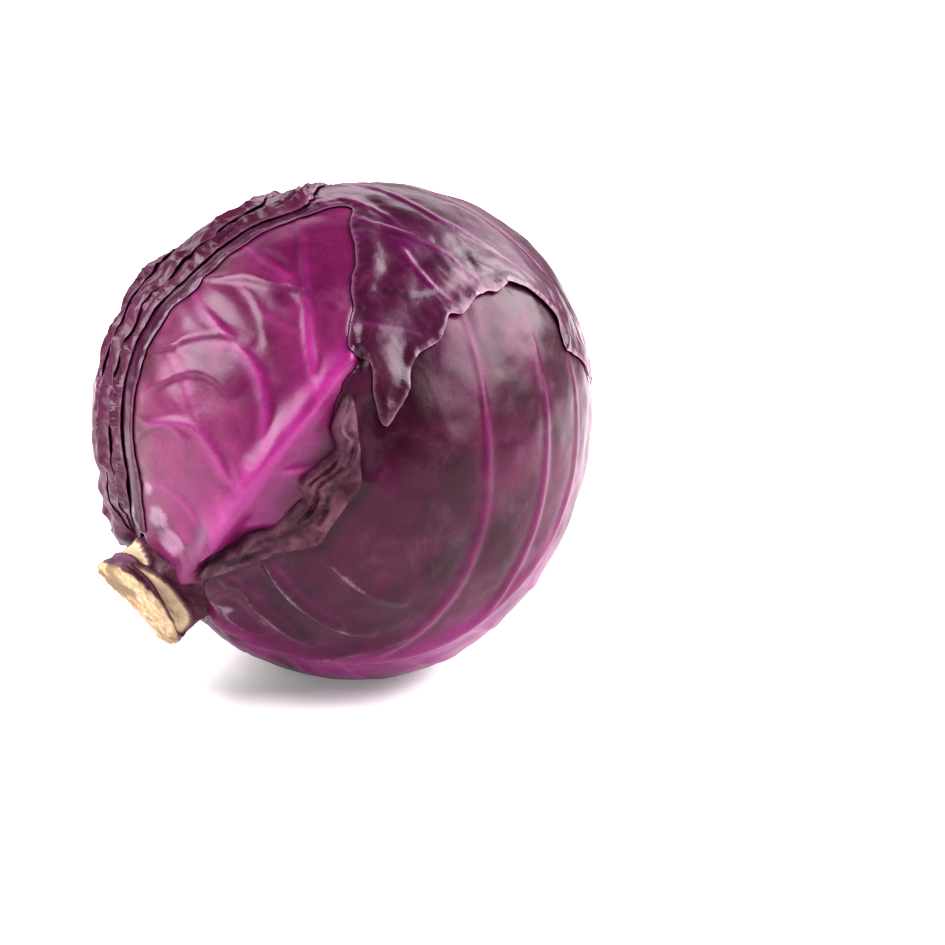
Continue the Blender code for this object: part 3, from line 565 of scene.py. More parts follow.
def shapeOf(leaf, points):
    # what stands out at each point of a flat leaf: ribs and blisters, the lifted margin, and masks, among
    # them painted shade along creases and painted highlights along the margin and the folds
    count = len(points)
    chart = leaf["chart"]
    shape = {name: np.zeros(count) for name in ("ribs", "puff", "pleat", "lift", "vein", "midrib", "rim",
                                                "margin", "blush", "creaseShade", "warm", "dull", "wax")}
    fromVeins = np.full(count, 30.0)
    valley = np.zeros(count)
    for number, (strength, rib) in enumerate(leaf["ribPaths"]):
        near = closeTo(points, rib, 30 if number == 0 else 14)
        if len(near) == 0:
            continue
        signed, share = signedFrom(points[near], rib)
        distance = np.abs(signed)
        taper = 1 - form["ribThinning"] * share
        height, width = leaf["midrib"] if number == 0 else leaf["vein"]
        width = width * (0.35 + 0.65 * taper)
        if number == 0:
            width = width * np.where(signed > 0, *form["midribSides"])
            valley[near] = leaf["valley"] * taper * bell(signed + 11, 5)
            shape["midrib"][near] = np.exp(-(distance / (0.9 * width)) ** 4) * np.clip(1.3 - share, 0, 1)
            shape["blush"][near] = bell(distance, 13 * (1.2 - share))
            # painted shade on the blade just right of the midrib
            shape["creaseShade"][near] = bell(signed + 1.15 * width, 0.6 * width) * (1 - share)
        ridge = height * strength * taper * bell(distance, width) * np.clip((1 - share) * 4, 0, 1)
        keepMost(shape["ribs"], near, ridge)
        line = strength * taper ** 0.3 * bell(distance, 0.4 * width + 0.2)
        line *= np.clip((1 - share) * 6, 0, 1)
        keepMost(shape["vein"], near, line)
        glow = 0.75 * strength * taper ** 0.5 * bell(distance, form["blushReach"])
        keepMost(shape["blush"], near, glow)
        fromVeins[near] = np.minimum(fromVeins[near], distance)
    away = 1 - bell(fromVeins, form["calmVeins"])
    for path, height, reach in leaf["creasePaths"]:
        near = closeTo(points, path, 4 * reach)
        signed, share = signedFrom(points[near], path)
        ends = np.sqrt(np.clip(4 * share * (1 - share), 0, 1))
        raised = np.exp(-np.maximum(signed, 0) / reach) / (1 + np.exp(-signed / (0.3 * height)))
        shape["puff"][near] += height * ends * raised
        # painted shadow along the lower side of each crease
        offset, wide = form["creaseShadow"]
        shadow = ends * bell(signed + offset, wide)
        keepMost(shape["creaseShade"], near, shadow)
    for path, height, width in leaf["foldPaths"]:
        near = closeTo(points, path, 4 * width)
        signed, share = signedFrom(points[near], path)
        ends = np.sqrt(np.clip(4 * share * (1 - share), 0, 1))
        width = width * np.where(signed > 0, *form["foldSides"])
        keepMost(shape["ribs"], near, height * ends * bell(signed, width))
        # painted highlight along each fold's ridge, kept in the same mask as the waxy bloom
        foldHighlight = 0.5 * ends * bell(signed, 0.4 * width)
        keepMost(shape["wax"], near, foldHighlight)
        # painted shade along the lower side of each fold
        shadow = 0.8 * ends * bell(signed + 1.2 * width, 0.8 * width)
        keepMost(shape["creaseShade"], near, shadow)
    for mask in ("warm", "dull", "wax"):
        for spot, size, strength in leaf[mask]:
            apart = np.linalg.norm(points - chart.places([spot])[0], axis=1)
            shape[mask] = np.maximum(shape[mask], strength * bell(apart, size))
    height, size = leaf["blister"]
    seed = leaf["seed"] * 7
    lumps = softNoise(points, size, seed) + 0.5 * softNoise(points, size * 0.5, seed + 1)
    shape["puff"] += height * (0.35 + 0.65 * away) * (0.6 + 0.6 * lumps)
    height, size = leaf["crumple"]
    folds = 1 - np.abs(softNoise(points, size, seed + 2)) * 2 + 0.5 * softNoise(points, size * 0.5, seed + 3)
    marginPlace, index = ontoOutline(points, leaf["outline"])
    distance = np.linalg.norm(points - marginPlace, axis=1)
    along = np.degrees(np.arccos(np.clip(chart.ways(points) @ -axis, -1, 1)))
    pastStem = softStep(along, *form["flatFromStem"])
    shape["margin"] = bell(distance, form["marginReach"])
    # painted highlight along the margin, where the edge would catch the light
    shape["rim"] = bell(distance, form["rimReach"])
    shape["puff"] += height * (0.3 + 0.7 * shape["margin"]) * folds
    rise = leaf["rise"][index]
    shape["lift"] = leaf["lift"] * (0.25 + rise) * bell(distance, leaf["liftReach"]) * pastStem
    if "lifted" in leaf:
        path, height = leaf["lifted"]
        apart, _ = nearestOn(points, pathOf(chart, path))
        shape["lift"] += height * (0.45 + rise) * bell(apart, 3.2)
    height, pitch, reach = leaf["pleat"]
    if height > 0:
        fromFold = distance
        if "foldLine" in leaf:
            fromFold, _ = nearestOn(points, pathOf(chart, leaf["foldLine"], form["foldStep"]))
        wander = 2.2 * softNoise(points, 12, seed + 5) + 0.8 * softNoise(points, 5, seed + 6)
        fold = 0.5 + 0.5 * np.cos(2 * math.pi * (fromFold - 0.8 + wander) / pitch)
        uneven = np.clip(0.7 + 0.9 * softNoise(points, 8, seed + 7), 0.1, 1.4)
        shape["pleat"] = height * uneven * fold * bell(fromFold, reach) * pastStem
        shape["pleat"] *= 1 - 0.85 * bell(distance, form["turnRadius"])
    shape["ribs"] -= valley
    full = softStep(distance, 0.0, form["thinReach"])
    shape["thick"] = form["thinnest"] + (1 - form["thinnest"]) * full
    shape["hug"] = 1 - form["hug"] * bell(distance, form["hugReach"])
    shape["rest"] = softStep(distance, 0.0, form["hugReach"])
    return shape


def reliefOf(leaf, shape, freedom):
    pressed = laying["pressedShare"] + (1 - laying["pressedShare"]) * freedom
    rise = (leaf["float"] + shape["ribs"] + shape["puff"]) * shape["hug"] + shape["pleat"]
    return np.maximum(rise + shape["lift"] * freedom, 0) * pressed


def layLeaves(heart, ribbed):
    # lays the leaves over the heart one by one, and gives the head's outside and what each lies on
    pitch = laying["thickness"] + laying["gap"]
    surface = heart
    beds = []
    for number, (name, leaf) in enumerate(layers):
        later = np.zeros((rows, columns))
        for _, other in layers[number + 1:]:
            later = later + other["covers"]
        later = np.clip(blurred(later, laying["coverReach"]), 0, None)
        freedom = 1 - softStep(later, *laying["freeUntil"])
        room = later * laying["floorRoom"] * pitch
        ground = draped(surface, laying["drapeSoftness"], laying["drapeReach"])
        relief, rest = np.zeros(rows * columns), np.zeros(rows * columns)
        rest[leaf["under"]] = leaf["gridShape"]["rest"]
        ground = surface + (ground - surface) * rest.reshape(rows, columns)
        if ribbed:
            standing = reliefOf(leaf, leaf["gridShape"], freedom.ravel()[leaf["under"]])
            relief[leaf["under"]] = standing * calm(grid.reshape(-1, 3)[leaf["under"]])
        thin = np.ones(rows * columns)
        thin[leaf["under"]] = leaf["gridShape"]["thick"]
        top = ground + pitch + relief.reshape(rows, columns)
        top += laying["thickness"] * (thin.reshape(rows, columns) - 1)
        top = np.minimum(top, floorRadius(grid) - room)
        surface = np.where(leaf["covers"], np.maximum(surface, top), surface)
        beds.append((ground, room, freedom))
    return surface, beds


for name, leaf in layers:
    prepareLeaf(leaf)
print("leaves laid out flat:", ", ".join(name for name, leaf in layers))

target = headRadius(grid)
depth = sum(leaf["covers"].astype(float) for name, leaf in layers)
lowest = floorRadius(grid) - blurred(depth, laying["tuckReach"]) * laying["floorRoom"] * (
    laying["thickness"] + laying["gap"])
heartField = np.minimum(target, lowest)
for _ in range(laying["rounds"]):
    plain, _ = layLeaves(heartField, False)
    swollen, _ = layLeaves(heartField, True)
    tuck = draped(plain - heartField, laying["tuckSoftness"], laying["drapeReach"])
    tuck = blurred(tuck, laying["tuckReach"])
    tuck += blurred(swollen - plain, laying["swellReach"])
    heartField = np.minimum(target - tuck, lowest)
_, beds = layLeaves(heartField, True)
print("heart fitted under the leaves")


def select(obj, mask=None):
    # leaves only this object selected, and of its vertices those in the mask
    bpy.ops.object.select_all(action="DESELECT")
    obj.select_set(True)
    bpy.context.view_layer.objects.active = obj
    if mask is not None:
        obj.data.polygons.foreach_set("select", np.zeros(len(obj.data.polygons), bool))
        obj.data.edges.foreach_set("select", np.zeros(len(obj.data.edges), bool))
        obj.data.vertices.foreach_set("select", mask)


def coordinates(mesh):
    flat = np.empty(len(mesh.vertices) * 3)
    mesh.vertices.foreach_get("co", flat)
    return flat.reshape(-1, 3)


def place(mesh, points):
    mesh.vertices.foreach_set("co", np.ascontiguousarray(points).ravel())
    mesh.update()


def paint(mesh, name, values):
    layer = mesh.attributes.new(name, "FLOAT", "POINT")
    layer.data.foreach_set("value", np.ascontiguousarray(values, dtype=np.float32))


def rimOf(mesh):
    # the vertices along the open margin
    ends = np.empty(len(mesh.edges) * 2, int)
    mesh.edges.foreach_get("vertices", ends)
    edgeOf = np.empty(len(mesh.loops), int)
    mesh.loops.foreach_get("edge_index", edgeOf)
    onRim = np.bincount(edgeOf, minlength=len(mesh.edges)) == 1
    return np.unique(ends.reshape(-1, 2)[onRim])


def edited(obj, mask, step, **values):
    # one step of edit mode on the vertices in the mask
    select(obj, mask)
    bpy.ops.object.mode_set(mode="EDIT")
    step(**values)
    bpy.ops.object.mode_set(mode="OBJECT")


# How a leaf is meshed: bands beside its margin in cuts, and the sharpest angle that is shaded smooth
meshing = {"trim": 0.55, "evenBand": 3, "fineBand": 2.6, "pull": 0.5, "pulls": 8, "smoothAngle": 55}


def makeLeaf(name, leaf, bed):
    ground, room, freedom = bed
    chart, outline, spacing = leaf["chart"], leaf["outline"], leaf["spacing"]
    low, high = outline.min(axis=0) - 1, outline.max(axis=0) + 1
    size = high - low
    cuts = np.maximum(2, np.round(size / spacing)).astype(int)
    bpy.ops.mesh.primitive_grid_add(x_subdivisions=int(cuts[0]), y_subdivisions=int(cuts[1]), size=1)
    obj = bpy.context.object
    obj.name = obj.data.name = name
    bpy.ops.object.mode_set(mode="EDIT")
    bpy.ops.mesh.select_mode(type="VERT")
    bpy.ops.mesh.select_all(action="SELECT")
    bpy.ops.transform.resize(value=(size[0], size[1], 1))
    bpy.ops.transform.translate(value=((low[0] + high[0]) / 2, (low[1] + high[1]) / 2, 0))
    bpy.ops.mesh.select_all(action="DESELECT")
    bpy.ops.object.mode_set(mode="OBJECT")
    flat = coordinates(obj.data)[:, :2]
    distance = nearestOn(flat, outline)[0]
    spare = ~insideOf(flat, outline) | (distance < meshing["trim"] * spacing)      # beyond the margin
    edited(obj, spare, bpy.ops.mesh.delete, type="VERT")
    for cut in (spacing, spacing / 2):
        mesh = obj.data
        flat = coordinates(mesh)[:, :2].copy()
        rimPoints = rimOf(mesh)
        flat[rimPoints] = ontoOutline(flat[rimPoints], outline)[0]     # out to the margin itself
        place(mesh, np.column_stack([flat, np.zeros(len(flat))]))
        fromRim = nearestOn(flat, outline)[0]
        besideRim = fromRim < meshing["evenBand"] * cut
        besideRim[rimPoints] = False
        edited(obj, besideRim, bpy.ops.mesh.vertices_smooth, factor=meshing["pull"],
               repeat=meshing["pulls"])
        if cut == spacing:                                             # finer beside the margin
            edited(obj, fromRim < meshing["fineBand"] * spacing, bpy.ops.mesh.subdivide, number_cuts=1)
    mesh = obj.data
    flat = coordinates(mesh)[:, :2].copy()
    shape = shapeOf(leaf, flat)
    ways = chart.ways(flat)
    free = sampled(freedom, ways)
    inner = sampled(ground, ways) + laying["gap"]
    relief = reliefOf(leaf, shape, free) * calm(ways)
    if "foldLine" in leaf:
        distance, _ = nearestOn(flat, pathOf(chart, leaf["foldLine"], form["foldStep"]))
        turned = 1 - np.clip(distance / form["turnRadius"], 0, 1)
        relief *= np.sqrt(1 - turned ** 2)
    blade = laying["thickness"] * shape["thick"]
    radius = np.minimum(inner + blade + relief, floorRadius(ways) - sampled(room, ways))
    points = middle + ways * radius[:, None]
    points[:, 2] = np.maximum(points[:, 2], 0)
    place(mesh, points * mm)
    # the crease mask is painted shade, the rim mask a painted highlight, and the wax mask holds waxy bloom
    # and painted highlights along the folds
    for mask in ("vein", "midrib", "rim", "margin", "blush", "creaseShade", "warm", "dull", "wax"):
        paint(mesh, mask, shape[mask])
    select(obj)
    thickness = obj.vertex_groups.new(name="thickness")
    for vertex, share in enumerate(shape["thick"].tolist()):
        thickness.add([vertex], share, "REPLACE")
    wall = obj.modifiers.new("blade", "SOLIDIFY")
    wall.vertex_group = thickness.name
    wall.thickness = laying["thickness"] * mm
    wall.offset = -1
    wall.use_quality_normals = True
    bpy.ops.object.modifier_apply(modifier=wall.name)
    bpy.ops.object.shade_smooth_by_angle(angle=rad(meshing["smoothAngle"]))
    print("made", name, "-", len(obj.data.polygons), "faces")
    return obj


def unitRows(vectors):
    return vectors / np.maximum(np.linalg.norm(vectors, axis=1, keepdims=True), 1e-9)


pieces = {}
for (name, leaf), bed in zip(layers, beds):
    pieces[name] = makeLeaf(name, leaf, bed)

# The turned part of the lower leaf belongs to it
bpy.ops.object.select_all(action="DESELECT")
pieces["fold"].select_set(True)
paint(pieces["leaf_lower"].data, "fold", np.zeros(len(pieces["leaf_lower"].data.vertices)))
paint(pieces["fold"].data, "fold", np.ones(len(pieces["fold"].data.vertices)))
pieces["leaf_lower"].select_set(True)
bpy.context.view_layer.objects.active = pieces["leaf_lower"]
bpy.ops.object.join()
del pieces["fold"]

# The tight heart of the head, seen only through gaps between the leaves
heartLook = {"cuts": 6, "under": 0.25, "lumps": 0.35, "stemReach": 22, "stemEnd": 59}
bpy.ops.mesh.primitive_ico_sphere_add(subdivisions=heartLook["cuts"], radius=1, location=(0, 0, 0))
heart = bpy.context.object
heart.name = heart.data.name = "heart"
ways = unitRows(coordinates(heart.data))
lumps = softNoise(ways[:, :2] * 80, 12, 3) + softNoise(ways[:, 1:] * 80, 9, 4)
radius = sampled(heartField, ways) - heartLook["under"] - heartLook["lumps"] * (1 + lumps / 2)
toStem = ways @ -axis
flatEnd = heartLook["stemEnd"] / np.maximum(toStem, 0.1)       # it ends flat under the stump
radius = np.where(toStem > math.cos(rad(heartLook["stemReach"])), np.minimum(radius, flatEnd), radius)
place(heart.data, (middle + ways * radius[:, None]) * mm)
select(heart)
bpy.ops.object.shade_smooth()
pieces["heart"] = heart
print("made heart -", len(heart.data.polygons), "faces")

# The stump: a cut cabbage stem with scars where outer leaves were broken off. Lengths run from the
# middle of the head along its axis, turns are degrees round it from the front
stump = {
    "sides": 96,
    "radius": 17.8,
    "lean": 4.0,
    "profile": [(58.0, 1.12), (62.0, 1.13), (64.8, 1.10), (67.5, 1.01), (71.0, 0.95), (75.0, 0.95),
        (79.0, 0.96), (81.0, 0.96), (83.0, 0.96), (84.6, 0.98), (86.0, 1.01), (87.2, 1.03), (88.4, 1.03),
        (89.4, 1.0), (90.0, 0.95)],
    "faceRings": [0.88, 0.76, 0.63, 0.5, 0.37, 0.24, 0.12],
    "faceFrom": (86.0, 88.6),
    "faceColour": (87.6, 88.3),
    "corner": 89.8,
    "core": 11,               # no scars or lumps on the cut face this near its middle
    "dish": 0.9,
    "scarDepth": 0.5,
    "scarWall": 0.7,
    "scarStep": 0.3,
    "bark": [(0.3, 3.2, 21), (0.6, 9, 22)],                  # height, size and seed of its lumps
    "cutGrain": (0.5, 2.4, 27),
    "pits": [(0.45, 5, 23), (0.35, 2.0, 24)],
    "streaks": (0.25, 1.2, 25),
    "ragged": (0.5, 2.5, 26),
    "oval": [(0.03, 2, 0.6), (0.02, 5, 0), (0.015, 9, 1)],   # share, number and turn of its bulges
    "frontCut": 2.4,          # how much shorter the cut is at the front and back than at the sides
    "scars": [[(100, 76), (78, 75), (56, 76.5), (30, 79), (33, 80.6), (56, 80.4), (76, 81.6), (100, 83)],
              [(38, 83.6), (25, 81.6), (1, 80), (-20, 79.8), (-43, 80.3), (-60, 81.6), (-68, 84.4),
               (-58, 87), (-46, 87.6), (-31, 87.4), (-12, 86.0), (10, 83.8), (26, 83.4)],
              [(150, 80), (176, 78), (205, 79), (228, 82), (222, 86), (190, 87), (160, 85)]],
}
bpy.ops.mesh.primitive_circle_add(vertices=stump["sides"], radius=stump["radius"] * stump["profile"][0][1],
                                  fill_type="NGON", location=(0, 0, 0))
stem = bpy.context.object
stem.name = stem.data.name = "stem"
bpy.ops.object.mode_set(mode="EDIT")
bpy.ops.mesh.select_mode(type="FACE")
bpy.ops.mesh.select_all(action="SELECT")
previous = stump["profile"][0]
for distance, share in stump["profile"][1:]:
    bpy.ops.mesh.extrude_region_move(TRANSFORM_OT_translate={"value": (0, 0, distance - previous[0])})
    bpy.ops.transform.resize(value=(share / previous[1], share / previous[1], 1))
    previous = (distance, share)
lastShare = 1.0
for share in stump["faceRings"]:
    bpy.ops.mesh.inset(thickness=stump["radius"] * previous[1] * (lastShare - share))
    lastShare = share
bpy.ops.mesh.poke()
bpy.ops.mesh.select_all(action="DESELECT")
bpy.ops.object.mode_set(mode="OBJECT")
select(stem)
finer = stem.modifiers.new("finer", "SUBSURF")
finer.levels = finer.render_levels = 2
bpy.ops.object.modifier_apply(modifier=finer.name)
local = coordinates(stem.data)
lengthwise = local[:, 2] + stump["profile"][0][0]
turn = np.arctan2(local[:, 1], local[:, 0])
around = np.hypot(local[:, 0], local[:, 1])
unrolled = np.stack([turn * stump["radius"], lengthwise], -1)
scarDepth = np.full(len(local), -9.0)                    # how far inside a scar
for scar in stump["scars"]:
    for lap in (-360, 0):                                # a scar may pass the back
        corners = [(rad(turned + lap) * stump["radius"], height) for turned, height in scar]
        outline = smoothPath(np.array(corners), stump["scarStep"], True)
        distance, _ = nearestOn(unrolled, outline)
        scarDepth = np.maximum(scarDepth, np.where(insideOf(unrolled, outline), distance, -distance))
scar = softStep(scarDepth, -0.2, 0.4)
atEnd = softStep(lengthwise, *stump["faceFrom"])
seam = 1 - bell((np.abs(turn) - math.pi) * 17, 3)
rough = seam * sum(height * softNoise(unrolled, size, seed) for height, size, seed in stump["bark"])
height, size, seed = stump["cutGrain"]
rough += height * seam * atEnd * softNoise(unrolled * (1, 0.2), size, seed)
(share, count, shift), *bulges = stump["oval"]
oval = 1 + share * np.cos(count * turn + shift)
for share, count, shift in bulges:
    oval = oval + share * np.sin(count * turn + shift)
outer = np.clip((around - stump["core"]) / 5, 0, 1) * (lengthwise < stump["corner"])
scarWall = stump["scarWall"] * bell(scarDepth + stump["scarWall"], stump["scarWall"])
around = around * oval + outer * (rough - stump["scarDepth"] * scar + scarWall)
facePoints = local[:, :2]
pits = sum(height * softNoise(facePoints, size, seed) for height, size, seed in stump["pits"])
height, size, seed = stump["streaks"]
pits += height * softNoise(facePoints * (1, 0.25), size, seed)
cutAcross = stump["frontCut"] * np.cos(turn) ** 2 * softStep(lengthwise, 80, 89) * np.clip(around / 17, 0, 1)
pits -= stump["dish"] * bell(around, stump["core"])
lengthwise = lengthwise + atEnd * np.clip((lengthwise - 88) / 2, 0, 1) * pits
lean = stump["lean"] * (lengthwise - 60) / 31
lengthwise = lengthwise - cutAcross
stemPoints = (middle - axis * lengthwise[:, None] + upper * lean[:, None]
              + (np.cos(turn) * around)[:, None] * front + (np.sin(turn) * around)[:, None] * upper)
place(stem.data, stemPoints * mm)
select(stem)
bpy.ops.object.mode_set(mode="EDIT")
bpy.ops.mesh.select_all(action="SELECT")
bpy.ops.mesh.normals_make_consistent(inside=False)
bpy.ops.object.mode_set(mode="OBJECT")
bpy.ops.object.shade_smooth()
height, size, seed = stump["ragged"]
ragged = height * softNoise(unrolled, size, seed) * seam
paint(stem.data, "cutFace", softStep(local[:, 2] + stump["profile"][0][0] + ragged, *stump["faceColour"]))
paint(stem.data, "scar", scar)
paint(stem.data, "scarRim", bell(scarDepth + 0.2, 0.45))
pieces["stem"] = stem
print("made stem -", len(stem.data.polygons), "faces")


def mixColour(tree, factor, a, b, label, blend="MIX"):
    node = tree.nodes.new("ShaderNodeMix")
    node.data_type = "RGBA"
    node.blend_type = blend
    node.label = label
    for socket, value in ((node.inputs[0], factor), (node.inputs[6], a), (node.inputs[7], b)):
        if isinstance(value, bpy.types.NodeSocket):
            tree.links.new(value, socket)
        elif isinstance(value, tuple):
            socket.default_value = (*value, 1)
        else:
            socket.default_value = value
    return node.outputs[2]


def mathNode(tree, operation, *values, clamp=False):
    node = tree.nodes.new("ShaderNodeMath")
    node.operation = operation
    node.use_clamp = clamp
    for socket, value in zip(node.inputs, values):
        if isinstance(value, bpy.types.NodeSocket):
            tree.links.new(value, socket)
        else:
            socket.default_value = value
    return node.outputs[0]


def times(tree, *values, clamp=False):
    return mathNode(tree, "MULTIPLY", *values, clamp=clamp)


def plus(tree, *values, clamp=False):
    return mathNode(tree, "ADD", *values, clamp=clamp)


def minus(tree, *values):
    return mathNode(tree, "SUBTRACT", *values)


def largest(tree, *values, clamp=False):
    return mathNode(tree, "MAXIMUM", *values, clamp=clamp)


def centred(tree, noise, amount):
    # noise between 0 and 1 made to swing round 0 by that amount
    return times(tree, minus(tree, noise, 0.5), amount)


def spread(tree, value, low, high):
    # 0 below low, 1 above high, smooth between
    node = tree.nodes.new("ShaderNodeMapRange")
    node.interpolation_type = "SMOOTHSTEP"
    tree.links.new(value, node.inputs["Value"])
    node.inputs["From Min"].default_value = low
    node.inputs["From Max"].default_value = high
    return node.outputs["Result"]


def noiseNode(tree, coordinate, scale, detail=3.0, roughness=0.55, distortion=0.0):
    node = tree.nodes.new("ShaderNodeTexNoise")
    tree.links.new(coordinate, node.inputs["Vector"])
    node.inputs["Scale"].default_value = scale
    node.inputs["Detail"].default_value = detail
    node.inputs["Roughness"].default_value = roughness
    node.inputs["Distortion"].default_value = distortion
    return node.outputs["Fac"]


def maskNode(tree, name):
    node = tree.nodes.new("ShaderNodeAttribute")
    node.attribute_name = name
    return node.outputs["Fac"]


def newGroup(name, inputs, outputs):
    group = bpy.data.node_groups.new(name, "ShaderNodeTree")
    for label, kind, value in inputs:
        socket = group.interface.new_socket(label, in_out="INPUT", socket_type=kind)
        socket.default_value = (*value, 1) if isinstance(value, tuple) else value
    for label, kind in outputs:
        group.interface.new_socket(label, in_out="OUTPUT", socket_type=kind)
    return group, group.nodes.new("NodeGroupInput"), group.nodes.new("NodeGroupOutput")


def newMaterial(name):
    made = bpy.data.materials.new(name)
    made.use_nodes = True
    return made, made.node_tree, made.node_tree.nodes["Principled BSDF"]


def objectSpace(tree):
    return tree.nodes.new("ShaderNodeTexCoord").outputs["Object"]


def bumped(tree, shader, height, strength, depth):
    bump = tree.nodes.new("ShaderNodeBump")
    bump.inputs["Strength"].default_value = strength
    bump.inputs["Distance"].default_value = depth
    tree.links.new(height, bump.inputs["Height"])
    tree.links.new(bump.outputs["Normal"], shader.inputs["Normal"])


# Scales of the patterns in a leaf's skin, in cells a metre
skinScales = {"broad": 26, "fine": 140, "grain": 1500, "warp": 90, "net": 130, "cloud": 60}


def makeBladeGroup():
    # the skin of a leaf: mottled blade, blush along the ribs, fine net of veins, painted shade in creases, a
    # painted highlight along the rim, and waxy bloom with painted highlights along the folds
    colour, number = "NodeSocketColor", "NodeSocketFloat"
    tree, start, end = newGroup("leafSkin", [
        ("Blade", colour, (0.1, 0.02, 0.07)), ("Deep", colour, (0.05, 0.01, 0.03)),
        ("Blush", colour, (0.4, 0.05, 0.3)), ("Vein", colour, (0.5, 0.1, 0.4)),
        ("Warm", colour, (0.3, 0.01, 0.2)), ("Dull", colour, (0.1, 0.03, 0.05)),
        ("Margin", colour, (0.1, 0.03, 0.06)), ("Rim Highlight", colour, (0.4, 0.2, 0.3)),
        ("Bloom And Highlight", colour, (0.6, 0.5, 0.6)), ("Blush Amount", number, 1.0), ("Vein Amount", number, 1.0),
        ("Bloom Amount", number, 0.3), ("Margin Amount", number, 1.0), ("Net Amount", number, 0.5),
        ("Dullness", number, 0.28),
    ], [("Color", colour), ("Roughness", number), ("Height", number)])
    put = tree.links.new
    given = start.outputs
    where = objectSpace(tree)
    broad = noiseNode(tree, where, skinScales["broad"], 3)
    fine = noiseNode(tree, where, skinScales["fine"], 4, 0.6)
    grain = noiseNode(tree, where, skinScales["grain"], 2, 0.5)
    uneven = centred(tree, broad, 0.9)

    def patchy(name, low, high):
        # a painted mask with an uneven edge
        return spread(tree, plus(tree, maskNode(tree, name), uneven), low, high)

    blade = mixColour(tree, spread(tree, broad, 0.35, 0.65), given["Deep"], given["Blade"], "blade")
    edgeMask = times(tree, patchy("margin", 0.25, 0.95), given["Margin Amount"], clamp=True)
    blade = mixColour(tree, edgeMask, blade, given["Margin"], "margin")
    flecked = plus(tree, maskNode(tree, "blush"), centred(tree, fine, 0.4), clamp=True)
    blushMask = times(tree, flecked, given["Blush Amount"], clamp=True)
    blade = mixColour(tree, blushMask, blade, given["Blush"], "blush")
    warmMask = times(tree, patchy("warm", 0.1, 0.8), 0.9)
    blade = mixColour(tree, warmMask, blade, given["Warm"], "warm parts")
    blade = mixColour(tree, patchy("dull", 0.1, 0.8), blade, given["Dull"], "dull parts")
    # the net of fine veins
    warp = tree.nodes.new("ShaderNodeTexNoise")
    put(where, warp.inputs["Vector"])
    warp.inputs["Scale"].default_value = skinScales["warp"]
    shifted = tree.nodes.new("ShaderNodeVectorMath")
    shifted.operation = "MULTIPLY_ADD"
    put(warp.outputs["Color"], shifted.inputs[0])
    shifted.inputs[1].default_value = (0.006, 0.006, 0.006)
    put(where, shifted.inputs[2])
    net = tree.nodes.new("ShaderNodeTexVoronoi")
    net.feature = "DISTANCE_TO_EDGE"
    net.inputs["Scale"].default_value = skinScales["net"]
    put(shifted.outputs[0], net.inputs["Vector"])
    netLine = minus(tree, 1.0, spread(tree, net.outputs["Distance"], 0.0, 0.1))
    netMask = times(tree, netLine, given["Net Amount"], clamp=True)
    netMask = times(tree, netMask, spread(tree, broad, 0.35, 0.7))
    veinMask = largest(tree, maskNode(tree, "vein"), times(tree, maskNode(tree, "midrib"), 0.75))
    veinMask = times(tree, veinMask, given["Vein Amount"])
    veinMask = times(tree, veinMask, minus(tree, 1.0, times(tree, warmMask, 0.7)))
    veinMask = largest(tree, veinMask, times(tree, netMask, 0.4), clamp=True)
    veinMask = times(tree, veinMask, plus(tree, 0.55, fine), clamp=True)
    blade = mixColour(tree, veinMask, blade, given["Vein"], "veins")
    # painted shade in creases, in the deep colour
    creaseShadeMask = times(tree, maskNode(tree, "creaseShade"), 0.75)
    blade = mixColour(tree, creaseShadeMask, blade, given["Deep"], "creases")
    cloudy = noiseNode(tree, where, skinScales["cloud"], 5, 0.65, 0.6)
    bloomAndHighlightMask = times(tree, spread(tree, cloudy, 0.5, 0.85), given["Bloom Amount"])
    # waxy bloom patches together with the painted highlights along the folds
    waxy = plus(tree, maskNode(tree, "wax"), centred(tree, cloudy, 2.2))
    waxAndHighlightMask = times(tree, spread(tree, waxy, 0.3, 0.8), 0.55)
    waxAndHighlightMask = times(tree, waxAndHighlightMask, spread(tree, maskNode(tree, "wax"), 0.05, 0.4))
    bloomAndHighlightMask = largest(tree, bloomAndHighlightMask, waxAndHighlightMask, clamp=True)
    blade = mixColour(tree, bloomAndHighlightMask, blade, given["Bloom And Highlight"], "bloom and highlights")
    # painted highlight along the margin
    blade = mixColour(tree, times(tree, maskNode(tree, "rim"), 0.6), blade, given["Rim Highlight"], "rim")
    speckled = tree.nodes.new("ShaderNodeHueSaturation")
    put(blade, speckled.inputs["Color"])
    speck = centred(tree, grain, 0.5)
    cloud = centred(tree, fine, 0.7)
    put(plus(tree, plus(tree, 1.0, cloud), speck), speckled.inputs["Value"])
    put(speckled.outputs["Color"], end.inputs["Color"])
    rough = plus(tree, given["Dullness"], times(tree, fine, 0.14))
    rough = plus(tree, rough, times(tree, bloomAndHighlightMask, 0.25))
    put(rough, end.inputs["Roughness"])
    height = plus(tree, times(tree, fine, 0.5), times(tree, grain, 0.05))
    height = plus(tree, height, times(tree, netMask, 0.12))
    put(height, end.inputs["Height"])
    return tree


bladeGroup = makeBladeGroup()

